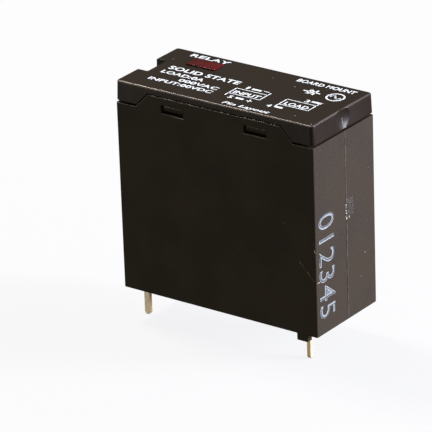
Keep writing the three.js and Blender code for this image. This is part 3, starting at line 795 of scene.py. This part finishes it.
def dish_x(z):
    """How far out the wall of the gate dish lies at height z on its middle line."""
    sink = ball - math.sqrt(ball ** 2 - (z - DISH["z"]) ** 2)
    return HALF_X - DISH["deep"] + sink


vestige = add_block(
    "gate_vestige", (HALF_X - VESTIGE["root"], VESTIGE["y"] - VESTIGE["half"], VESTIGE["low"]),
    (HALF_X, VESTIGE["y"] + VESTIGE["half"], VESTIGE["high"]),
)
cut_into(vestige, 10, Vector((0, 0, 1)))
for vertex in vestige.data.vertices:
    if vertex.co.x > (HALF_X - NEAR) * MM:
        vertex.co.x = (dish_x(vertex.co.z / MM) + VESTIGE["proud"]) * MM
roughen(vestige, (0.02, 0.03, 0.01))
soften(vestige, VESTIGE_EDGE, 2)
print("gate streak:", triangles(vestige), "triangles")

# %% [markdown]
# ### Flash and chips
# Tiny flecks of torn plastic catch the light along the parting line and around the gate, and their
# pale tone is partly a painted highlight: the broken light line under the seam and the lit front and
# lower edges of the gate scar. Particles could scatter them, but copies of one squashed ball, placed
# by seeded random numbers, are meshes of their own and come out the same each time.

# %% Flash and chips
FLASH_REACH = 9.2
FLECKS = 64
FLECK_LEAST, FLECK_MORE = 0.025, 0.06
FLECK_DEEP = 0.03
CHIPS = 18
CHIP_LEAST, CHIP_MORE = 0.04, 0.07
CHIP_DEEP = 0.04
NICK_DEEP = 0.03
LOW_EDGE_SHARE = 0.4
# A nick on the end wall: its y and z, and its half width and half height, in mm.
WALL_NICKS = (
    (4.06, 7.39, 0.08, 0.08), (-5.9, 7.1, 0.42, 0.035), (5.0, 18.2, 0.05, 0.04), (3.1, 4.6, 0.04, 0.05)
)


def scatter(name, spots):
    """Small rough chips, each a squashed ball with its own place and size, joined in one mesh."""
    deselect_all()
    bpy.ops.mesh.primitive_ico_sphere_add(subdivisions=1, radius=MM, location=(0, 0, 0))
    chip = bpy.context.object
    chips = []
    for spot, sizes in spots:
        copy = chip.copy()
        copy.data = chip.data.copy()
        bpy.context.scene.collection.objects.link(copy)
        copy.data.transform(Matrix.Translation(Vector(spot) * MM) @ Matrix.Diagonal((*sizes, 1)))
        chips.append(copy)
    bpy.data.objects.remove(chip)
    return join(name, chips)


def flash_fleck():
    """A fleck on the middle stretch of the front parting line; most are small, and their pale tone paints
    a broken highlight along the seam.
    """
    size = FLECK_LEAST + FLECK_MORE * mix.random() ** 3
    x = mix.uniform(-FLASH_REACH, FLASH_REACH)
    spot = (x, -HALF_Y + HAIR, SEAM_HIGH + mix.uniform(-0.06, 0.03))
    return spot, (size * mix.uniform(1, 3), FLECK_DEEP, size * 0.7)


def gate_chip():
    """A chip on the front edge of the gate scar, or two times in five on its lower edge; the chips' pale
    tone paints the highlight along these lit edges.
    """
    along = mix.random()
    low_edge = mix.random() < LOW_EDGE_SHARE
    y = GATE_LOW.x + (along * 0.9 if low_edge else mix.uniform(0, 0.12))
    z = GATE_LOW.y + (mix.uniform(-0.1, 0.15) if low_edge else along * 1.9)
    size = CHIP_LEAST + CHIP_MORE * mix.random() ** 2
    return (end_wall_x(z) + 2 * HAIR, y, z), (CHIP_DEEP, size, size * mix.uniform(1, 2))


flash = scatter("seam_flash_and_highlight", [flash_fleck() for _ in range(FLECKS)])
chips = [gate_chip() for _ in range(CHIPS)]
chips += [((end_wall_x(z) + HAIR, y, z), (NICK_DEEP, wide, tall)) for y, z, wide, tall in WALL_NICKS]
gate_chips_and_highlight = scatter("gate_chips_and_highlight", chips)
print("seam flash:", triangles(flash), "triangles; gate chips:", triangles(gate_chips_and_highlight))

# %% [markdown]
# ## Handling marks
# Three hairline scratches near the front corner show that the part has been handled. A scratch in
# black plastic turns pale, so each is a very thin raised sliver with a pale finish, which stays
# crisp where a painted mask would blur.

# %% Scratches
SLIVER = 0.03
SCRATCHES = (
    ((12.08, 9.6), (14.2, 7.4)), ((9.85, 14.1), (10.15, 13.95)), ((14.25, 11.6), (14.4, 11.1))
)


def scratch(start, end):
    """A sliver on the front wall between two places given as x and z."""
    length = (Vector(end) - Vector(start)).length
    middle = (Vector(end) + Vector(start)) / 2
    turn = math.atan2(end[1] - start[1], end[0] - start[0])
    deselect_all()
    bpy.ops.mesh.primitive_cube_add(size=MM, location=(0, 0, 0))
    sliver = bpy.context.object
    sliver.scale = (length, SLIVER, SLIVER)
    settle(sliver)
    cut_into(sliver, 12, Vector((1, 0, 0)))
    roughen(sliver, (0, 0.006, 0.012))
    sliver.data.transform(Matrix.Rotation(-turn, 4, "Y"))
    sliver.data.transform(Matrix.Translation(Vector((middle.x, -HALF_Y + HAIR, middle.y)) * MM))
    return sliver


scratches = join("hairline_scratches", [scratch(*ends) for ends in SCRATCHES])
print("scratches:", triangles(scratches), "triangles")

# %% [markdown]
# ## Building finishes from nodes
# Every finish reads Object coordinates, so its pattern stays on the piece. Pattern scales are worked
# out from real sizes: a noise of scale 1 / size repeats about once per that size.

# %% Helpers for finishes


def linear(code):
    """An sRGB hex colour as linear red, green, blue and alpha."""
    parts = [int(code[i:i + 2], 16) / 255 for i in (1, 3, 5)]
    return (*[p / 12.92 if p <= 0.04045 else ((p + 0.055) / 1.055) ** 2.4 for p in parts], 1)


def per_mm(size):
    """The scale of a pattern that repeats about every so many millimetres."""
    return 1 / (size * MM)


def start_finish(name, **shader):
    """A material with one Principled shader and its settings that are the same all over."""
    material = bpy.data.materials.new(name)
    material.use_nodes = True
    tree = material.node_tree
    principled = tree.nodes["Principled BSDF"]
    for socket, value in shader.items():
        principled.inputs[socket.replace("_", " ")].default_value = value
    return material, tree, principled


def add(tree, kind, inputs, **settings):
    """One node: its settings, then each input given as a value or as another node's output."""
    made = tree.nodes.new("ShaderNode" + kind)
    for key, value in settings.items():
        setattr(made, key, value)
    for socket, value in inputs.items():
        if isinstance(value, bpy.types.NodeSocket):
            tree.links.new(value, made.inputs[socket])
        else:
            made.inputs[socket].default_value = value
    return made


# The colour mix node's sockets by number, because its names repeat for each kind of data.
FACTOR, FIRST, SECOND = 0, 6, 7
BLENDED = 2


def object_place(tree):
    return add(tree, "TexCoord", {}).outputs["Object"]


def noise(tree, place, size, detail=2.0, rough=0.5):
    """A cloudy pattern of the given size in millimetres, from 0 to 1."""
    settings = {"Vector": place, "Scale": per_mm(size), "Detail": detail, "Roughness": rough}
    return add(tree, "TexNoise", settings).outputs["Fac"]


def spread_out(tree, value, low, high, to_low=0.0, to_high=1.0):
    settings = {"Value": value, "From Min": low, "From Max": high, "To Min": to_low, "To Max": to_high}
    return add(tree, "MapRange", settings).outputs["Result"]


def blend(tree, factor, first, second):
    inputs = {FACTOR: factor, FIRST: first, SECOND: second}
    return add(tree, "Mix", inputs, data_type="RGBA").outputs[BLENDED]


def give_relief(tree, principled, height, depth, strength):
    """Turns a pattern into bumps of the given depth in millimetres."""
    inputs = {"Height": height, "Distance": depth * MM, "Strength": strength}
    bump = add(tree, "Bump", inputs)
    tree.links.new(bump.outputs["Normal"], principled.inputs["Normal"])


# %% [markdown]
# ### Moulded PBT case and lid
# The mouldings are black glass-filled polyester, which looks slightly brown. The case was moulded in
# a spark-eroded tool, so it is matt with a fine grain; the lid's tool was smoother, so the lid is
# satin and darker until light glances off it. Handling leaves faint rubbed patches and a little dust
# on top. A third, paler copy paints highlights along the edges. One function makes all three, because
# they differ only in tone, gloss and grain.

# %% Moulded plastics
PATCH_SIZE = 7.0
DUST_SPACING = 2.2
DUST_EDGE = (0.045, 0.03)
DUST_COLOUR = "#8f857c"


def moulded_plastic(name, body, worn_and_highlit, rough_low, rough_high, grain, depth, specular, dusty):
    """Black moulding: fine grain and worn patches between two tones, glossier where it is worn; the edge
    copy's pale tones paint highlights.
    """
    material, tree, principled = start_finish(name, IOR=1.5, Specular_IOR_Level=specular)
    place = object_place(tree)
    cloud = noise(tree, place, PATCH_SIZE, 3.0)
    patches = spread_out(tree, cloud, 0.42, 0.62)
    fine = noise(tree, place, grain, 2.0, 0.7)
    tone = blend(tree, spread_out(tree, fine, 0.3, 0.7, 0.0, 0.6), linear(body), linear(worn_and_highlit))
    tone = blend(tree, spread_out(tree, cloud, 0.4, 0.62, 0.0, 0.35), tone, linear(worn_and_highlit))
    if dusty:
        cells = {"Vector": place, "Scale": per_mm(DUST_SPACING)}
        dust = spread_out(tree, add(tree, "TexVoronoi", cells).outputs["Distance"], *DUST_EDGE)
        height = add(tree, "SeparateXYZ", {"Vector": place}).outputs["Z"]
        lying = spread_out(tree, height, (LID_TOP - NEAR) * MM, (LID_TOP - NEAR / 2) * MM)
        settled = add(tree, "Math", {0: dust, 1: lying}, operation="MULTIPLY").outputs[0]
        tone = blend(tree, settled, tone, linear(DUST_COLOUR))
    tree.links.new(tone, principled.inputs["Base Color"])
    tree.links.new(spread_out(tree, patches, 0, 1, rough_high, rough_low), principled.inputs["Roughness"])
    give_relief(tree, principled, fine, depth, 0.6)
    return material


# Matt brownish black with a fine grain; it reflects little and looks soft.
case_finish = moulded_plastic(
    "moulded_pbt_matt_black", "#271f18", "#3b3129", 0.5, 0.62, 0.2, 0.016, 0.16, dusty=False
)
# Deeper black with a satin sheen at a glancing angle, and a few specks of dust.
lid_finish = moulded_plastic(
    "moulded_pbt_satin_black", "#150d0a", "#211611", 0.32, 0.42, 0.18, 0.009, 0.22, dusty=True
)
# Polished by rubbing, and painted pale as a highlight, so it draws a thin light line along an edge.
edge_highlight_finish = moulded_plastic(
    "moulded_pbt_painted_edge_highlight", "#4b403c", "#665a56", 0.3, 0.4, 0.3, 0.004, 0.5, dusty=False
)
print("plastics:", [finish.name for finish in (case_finish, lid_finish, edge_highlight_finish)])

# %% [markdown]
# ### Lens, ink and mould marks
# The lens is a dark crimson clear plastic with a smooth skin. The white ink is matt and a little
# uneven; the stamped ink is thin, so the plastic shows through it in places. Torn and scratched
# plastic is pale and just as uneven, so the same function makes it; the flecks' paler tone is partly
# a painted highlight.

# %% Lens and inks
lens_finish, tree, principled = start_finish(
    "clear_crimson_acrylic", IOR=1.49, Roughness=0.16, Specular_IOR_Level=0.12
)
depth_tone = noise(tree, object_place(tree), 1.4, 2.0)
tone = blend(tree, spread_out(tree, depth_tone, 0.35, 0.65), linear("#3a060b"), linear("#520c12"))
tree.links.new(tone, principled.inputs["Base Color"])


def printing_ink(name, thin, full, size, cover_low, cover_high, rough):
    """Ink whose cover varies: where it is thin the plastic darkens it."""
    material, tree, principled = start_finish(name, IOR=1.5, Roughness=rough)
    cover = noise(tree, object_place(tree), size, 4.0, 0.7)
    tone = blend(tree, spread_out(tree, cover, cover_low, cover_high), linear(thin), linear(full))
    tree.links.new(tone, principled.inputs["Base Color"])
    give_relief(tree, principled, cover, 0.01, 0.4)
    return material


# Inks: bright and nearly opaque on the lid, pale blue-grey at a digit's rim, thin in its middle.
white_ink = printing_ink("pad_printed_white_ink", "#85878c", "#e2e9f2", 0.22, 0.3, 0.45, 0.55)
rim_ink = printing_ink("stamped_blue_ink_rim", "#54575d", "#91969d", 0.25, 0.32, 0.6, 0.6)
thin_ink = printing_ink("stamped_blue_ink_thin", "#2a2828", "#4d4e53", 0.22, 0.35, 0.68, 0.6)
# Torn plastic: a dull rough scar, a faint line, bright flecks whose pale tone is partly a painted
# highlight, and pale hairlines.
scar_finish = printing_ink("broken_pbt_gate", "#2a221e", "#5e544e", 0.18, 0.5, 0.68, 0.7)
witness_finish = printing_ink("pbt_flash_line", "#352b26", "#544a44", 1.6, 0.4, 0.62, 0.5)
pale_fleck_highlight_finish = printing_ink("pbt_flash_flecks_painted_highlight", "#6e655f", "#c9bfb6", 0.3, 0.3, 0.6, 0.4)
scratch_finish = printing_ink("scratched_pbt", "#4d433d", "#b3a79c", 0.9, 0.35, 0.6, 0.5)
print("inks:", [finish.name for finish in (white_ink, rim_ink, thin_ink)])

# %% [markdown]
# ### Solder-dipped blades and leads
# The blades are punched from copper alloy strip and dipped in solder. The dip is a dull silver with
# soft runs along the blade, and the alloy glows through on the sheared edges. Those edges face X on
# the input blades and Y on the load blades, so each pair has a finish that reads its own axis. The
# load blades face the side light, so their tones are painted darker, a painted shade.

# %% Metals


def metal(name, dull, bright, warm, warm_share, rough_low, rough_high, size, stretch, cut_axis=None):
    """Metal with runs of brighter tone; faces square to the cut axis show the warm core."""
    material, tree, principled = start_finish(name, Metallic=1.0)
    settings = {"Vector": object_place(tree), "Scale": stretch}
    place = add(tree, "Mapping", settings).outputs["Vector"]
    runs = noise(tree, place, size, 4.0, 0.6)
    tone = blend(tree, spread_out(tree, runs, 0.35, 0.65), linear(dull), linear(bright))
    stain = noise(tree, place, size * 3, 3.0)
    tone = blend(tree, spread_out(tree, stain, 0.52, 0.6, 0.0, warm_share), tone, linear(warm))
    if cut_axis:
        normal = add(tree, "TexCoord", {}).outputs["Normal"]
        facing = add(tree, "SeparateXYZ", {"Vector": normal}).outputs[cut_axis]
        sheared = add(tree, "Math", {0: facing}, operation="ABSOLUTE").outputs[0]
        tone = blend(tree, spread_out(tree, sheared, 0.6, 0.95, 0.0, 0.85), tone, linear(warm))
    tree.links.new(tone, principled.inputs["Base Color"])
    tree.links.new(spread_out(tree, runs, 0.3, 0.7, rough_high, rough_low), principled.inputs["Roughness"])
    give_relief(tree, principled, runs, 0.03, 0.5)
    return material


EVEN = (1, 1, 1)
ALONG_Z = (1, 1, 0.25)
ROLLED_ALONG_Z = (1, 1, 0.06)
BLADE_LOOK = (0.25, 0.5, 0.65, 0.35, ALONG_Z)
# Dull silver with a warm cast and warm sheared edges.
input_blade_finish = metal("solder_dipped_alloy_input", "#e0d6c8", "#fbf7ef", "#e0bd86", *BLADE_LOOK, "X")
# The load blades' tones are darker than the input blades' as a painted shade, because the side light falls
# on them.
load_blade_shaded_finish = metal("solder_dipped_alloy_load_painted_shade", "#b3ab9f", "#dbd5c9", "#e6c591", *BLADE_LOOK, "Y")
# Brighter grey wire with a little tarnish, and grey sheet with fine rolling lines.
lead_finish = metal("tinned_copper_wire", "#a6a39b", "#d6d4cd", "#b49a6c", 0.25, 0.25, 0.42, 0.3, EVEN)
spreader_finish = metal(
    "rolled_aluminium", "#a9abac", "#cfd1d2", "#b3b1ab", 0.2, 0.32, 0.46, 0.12, ROLLED_ALONG_Z
)
print("metals:", [m.name for m in (input_blade_finish, load_blade_shaded_finish, lead_finish, spreader_finish)])

# %% [markdown]
# ### Board and parts inside
# The board is brown phenolic paper laminate. Its parts have dipped or moulded coatings, and the axial
# parts carry printed bands, which are stripes across their own length.

# %% Parts inside


def coating(name, first, second, size, rough, depth, **shader):
    """A dipped, moulded or laminated skin, mottled between two close tones."""
    material, tree, principled = start_finish(name, Roughness=rough, **shader)
    pattern = noise(tree, object_place(tree), size, 4.0, 0.6)
    tone = blend(tree, spread_out(tree, pattern, 0.3, 0.7), linear(first), linear(second))
    tree.links.new(tone, principled.inputs["Base Color"])
    give_relief(tree, principled, pattern, depth, 0.5)
    return material


def banded(name, ground, shade, rough, node, bands):
    """A coating with bands across X; a band is its centre's share of the length, width and colour."""
    material, tree, principled = start_finish(name, Roughness=rough)
    place = object_place(tree)
    pattern = noise(tree, place, 0.5, 4.0, 0.6)
    tone = blend(tree, spread_out(tree, pattern, 0.3, 0.7), linear(ground), linear(shade))
    along = add(tree, "SeparateXYZ", {"Vector": place}).outputs["X"]
    low, high = box_mm(node)
    for share, wide, colour in bands:
        centre = (low.x + (high.x - low.x) * share) * MM
        inputs = {0: along, 1: centre, 2: wide / 2 * MM}
        inside = add(tree, "Math", inputs, operation="COMPARE").outputs[0]
        tone = blend(tree, inside, tone, linear(colour))
    tree.links.new(tone, principled.inputs["Base Color"])
    give_relief(tree, principled, pattern, 0.02, 0.4)
    return material


GOLD_BAND, RED_BAND, BROWN_BAND, BLACK_BAND = "#a98033", "#a3241f", "#5a3420", "#1b1a1a"
ORANGE_BAND, SILVER_BAND = "#cf6a1f", "#b9b8b2"
resistor_bands = (
    (0.16, 0.45, BROWN_BAND), (0.36, 0.4, BLACK_BAND), (0.55, 0.4, RED_BAND), (0.82, 0.45, GOLD_BAND)
)
orange_bands = (
    (0.16, 0.45, ORANGE_BAND), (0.36, 0.4, ORANGE_BAND), (0.55, 0.4, BROWN_BAND), (0.82, 0.45, GOLD_BAND)
)
INSIDE = {
    "circuit_board": coating("phenolic_paper_laminate", "#7a5a2b", "#96733c", 0.8, 0.5, 0.01),
    "photocoupler_body": coating("moulded_epoxy_package", "#1b1b1c", "#2a2a2b", 0.2, 0.5, 0.01),
    "heat_spreader": spreader_finish,
    "triac_package": coating("moulded_epoxy_triac", "#1d1d1f", "#2b2b2d", 0.2, 0.48, 0.01),
    "triac_rivet": spreader_finish,
    "snubber_capacitor": coating("moulded_polyester_box", "#a87a22", "#c1922f", 0.6, 0.42, 0.01),
    "varistor_disc": coating("dipped_blue_epoxy", "#245f9c", "#3a7cbb", 0.9, 0.25, 0.04, Coat_Weight=0.4),
    "indicator_led": coating("tinted_lamp_epoxy", "#8e1420", "#c0303a", 1.5, 0.12, 0.005, Coat_Weight=0.6),
}
BANDED = (
    ("input_resistor", "dipped_resistor_tan", "#b79a68", "#c6ac7e", resistor_bands),
    ("gate_resistor", "dipped_resistor_buff", "#b4966a", "#c6ac7e", orange_bands),
    ("snubber_resistor", "dipped_resistor_blue", "#5d7f96", "#7695aa", resistor_bands),
    ("input_diode", "moulded_epoxy_diode", "#1a1919", "#272525", ((0.82, 0.7, SILVER_BAND),)),
)
for node, name, ground, shade, bands in BANDED:
    INSIDE[node] = banded(name, ground, shade, 0.45, node, bands)
print("finishes inside the case:", len(INSIDE))

# %% [markdown]
# ## Dressing the CAD nodes that stay
# The blades and everything inside keep their CAD meshes, which are loose triangles. A weld joins the
# triangles, a bevel rounds the sharp edges, and the finish goes into the node's own material slot.

# %% Carried-over nodes
WELD_REACH = 0.002
NODE_SHARP = math.radians(35)
BLADE_ROUND = 0.1
PART_ROUND = 0.08
LEAD_ROUND = 0.03


def dress(node, finish, radius, segments=2):
    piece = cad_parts[node]
    if not piece.material_slots:
        piece.data.materials.append(finish)
    for slot in piece.material_slots:
        slot.material = finish
    weld = piece.modifiers.new("Weld", "WELD")
    weld.merge_threshold = WELD_REACH * MM
    bevel = piece.modifiers.new("Bevel", "BEVEL")
    bevel.width = radius * MM
    bevel.segments = segments
    bevel.angle_limit = NODE_SHARP
    for face in piece.data.polygons:
        face.use_smooth = True
    normals = piece.modifiers.new("Normals", "WEIGHTED_NORMAL")
    normals.keep_sharp = True


for node in BLADES:
    dress(node, input_blade_finish if "input" in node else load_blade_shaded_finish, BLADE_ROUND, 3)
for node, finish in INSIDE.items():
    dress(node, finish, PART_ROUND)
leads = [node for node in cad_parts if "_lead_" in node]
for node in leads:
    dress(node, lead_finish, LEAD_ROUND)
print("dressed nodes:", len(BLADES) + len(INSIDE) + len(leads), "of", len(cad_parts))

# %% [markdown]
# ## Putting the new pieces on the frame
# Each new piece rides on the relay's one body. The case, lid and lens stand for their CAD nodes,
# which are then hidden.

# %% Finishes and riding
PLACED = (
    (case, case_finish, "case_plastic", ("case_body",)),
    (lid, lid_finish, "lid_plastic", ("lid",)),
    (window, lens_finish, "window_lens", ("indicator_window",)),
    (lid_print, white_ink, "lid_ink", ()),
    (code_rim, rim_ink, "code_ink", ()),
    (code_fill, thin_ink, "code_ink", ()),
    (gate_scar, scar_finish, "case_plastic", ()),
    (witness, witness_finish, "case_plastic", ()),
    (vestige, witness_finish, "lid_plastic", ()),
    (scratches, scratch_finish, "case_plastic", ()),
    (gate_chips_and_highlight, pale_fleck_highlight_finish, "case_plastic", ()),
    (flash, pale_fleck_highlight_finish, "case_plastic", ()),
)
for piece, finish, slot, nodes in PLACED:
    piece.data.materials.clear()
    piece.data.materials.append(finish)
    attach(piece, BODY)
    if nodes:
        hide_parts(*nodes)
print("placed pieces:", [piece.name for piece, *_ in PLACED])

# %% [markdown]
# ## Rubbed edges with a painted highlight
# Black plastic is polished where fingers and other parts rub it, first along its sharp edges. The
# narrow roundings made earlier are picked by their slanting direction and given a second, smoother
# finish whose paler tone is a painted highlight, a thin light line along each edge.

# %% Rubbed edges with a painted highlight
FLAT = 0.97
UPWARDS = 0.15
NOT_TO_THE_END = 0.5
LEANS_TO_FRONT = 0.2
CASE_SKIN = 0.12


def paint_edge_highlights(piece, test):
    """Gives the outer roundings of a moulding the smoother finish with a painted highlight."""
    piece.data.materials.append(edge_highlight_finish)
    worn_and_highlit = 0
    for face in piece.data.polygons:
        slanting = max(abs(part) for part in face.normal) < FLAT
        if slanting and test(face.center / MM, face.normal):
            face.material_index = 1
            worn_and_highlit += 1
    return worn_and_highlit


def outside(p, depth):
    return abs(p.x) > HALF_X - depth or abs(p.y) > HALF_Y - depth


def near_dish(p):
    beside = p.x > HALF_X - DISH["deep"] - 2 * NEAR and abs(p.y) < DISH["radius"] + NEAR
    return beside and p.z < LID_TOP - LID_TOP_EDGE


def lid_highlight_edge(p, n):
    """The lid's outer roundings that face up, but not the edge over the gate's end; they get the painted
    highlight.
    """
    up = n.z > UPWARDS and n.x < NOT_TO_THE_END
    return up and outside(p, LID_TOP_EDGE + 2 * NEAR) and not near_dish(p)


def case_highlight_edge(p, n):
    """The case's roundings along its long walls that face up, such as its rim's; they get the painted
    highlight.
    """
    up = n.z > UPWARDS and abs(n.y) > LEANS_TO_FRONT
    return up and outside(p, CASE_SKIN) and p.z > NEAR


lid_highlit_faces = paint_edge_highlights(lid, lid_highlight_edge)
case_highlit_faces = paint_edge_highlights(case, case_highlight_edge)
print("rubbed faces on the lid and case:", lid_highlit_faces, case_highlit_faces)

# %% [markdown]
# ## Floor and light
# The relay stands on its blades on a plain white floor. A broad soft light hangs above, and a bluer
# one stands on the right, so the end wall is the lightest face and the front stays dark. The floor
# glows, but neither diffuse nor glossy rays see it, because a real white floor would light the front
# from below. The world is bright only to the camera; the light it gives is weak and slightly warm.

# %% Floor
FLOOR_SIZE = 4.0
FLOOR_GLOW = 0.9
floor_height = min(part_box(node)[0].z for node in BLADES)
deselect_all()
bpy.ops.mesh.primitive_plane_add(size=FLOOR_SIZE, location=(0, 0, floor_height))
floor = bpy.context.object
floor.name = "studio_floor"
settle(floor)
floor_finish, tree, principled = start_finish(
    "backlit_white_acrylic", Base_Color=linear("#484848"), Roughness=0.9, Specular_IOR_Level=0.0,
    Emission_Color=linear("#fbfbfd"), Emission_Strength=FLOOR_GLOW,
)
floor.data.materials.append(floor_finish)
floor.visible_diffuse = False
floor.visible_glossy = False
floor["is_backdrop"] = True
print("floor at", round(floor_height / MM, 2), "mm")

# %% [markdown]
# ### Lights
# Three softboxes light the relay from above, the right and behind. A card low at the front left is
# seen only in glossy reflections. It lifts the front of the satin lid and leaves the matt case dark,
# which no ordinary light from there could do.

# %% Lights
ROOM_LIGHT = 0.25
ROOM_TONE = "#fff9df"
BACKDROP = 0.96
BACKDROP_TONE = "#fdfdff"


def add_area(name, place, size, power, colour):
    """A square soft light at a place in metres, aimed at the relay's middle."""
    data = bpy.data.lights.new(name, "AREA")
    data.shape = "SQUARE"
    data.size = size
    data.energy = power
    data.color = colour
    light = bpy.data.objects.new(name, data)
    spot = Vector(place)
    turn = (spot - AIM * MM).to_track_quat("Z", "Y").to_matrix().to_4x4()
    light.matrix_world = Matrix.Translation(spot) @ turn
    bpy.context.scene.collection.objects.link(light)
    return light


add_area("top_softbox", (-0.52, 0.08, 0.85), 0.22, 9.0, (1, 0.9, 0.8))
add_area("side_softbox", (0.87, 0.48, 0.26), 0.35, 33.0, (0.82, 0.87, 1))
add_area("rim_softbox", (0.42, 0.78, 0.58), 0.25, 1.6, (1, 0.97, 0.93))
sheen_card = add_area("sheen_card", (-0.68, -0.85, 0.04), 0.6, 4.5, (1, 0.95, 0.84))
sheen_card.visible_diffuse = False
world = bpy.data.worlds.new("studio")
world.use_nodes = True
tree = world.node_tree
seen = add(tree, "LightPath", {}).outputs["Is Camera Ray"]
glow = spread_out(tree, seen, 0, 1, ROOM_LIGHT, BACKDROP)
tone = blend(tree, seen, linear(ROOM_TONE), linear(BACKDROP_TONE))
background = tree.nodes["Background"]
tree.links.new(tone, background.inputs["Color"])
tree.links.new(glow, background.inputs["Strength"])
bpy.context.scene.world = world
bpy.context.scene.view_settings.view_transform = "Standard"
print("lights:", [light.name for light in bpy.data.lights])

# %% [markdown]
# ## Sizes
# The box of the finished model is printed, as the box of the CAD model was at the start, and the two
# boxes are kept side by side in one table.

# %% Sizes
model_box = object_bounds()
corners = {"cad": cad_box, "visual": model_box}
print("visual box in mm:", [[round(c / MM, 2) for c in corner] for corner in model_box])
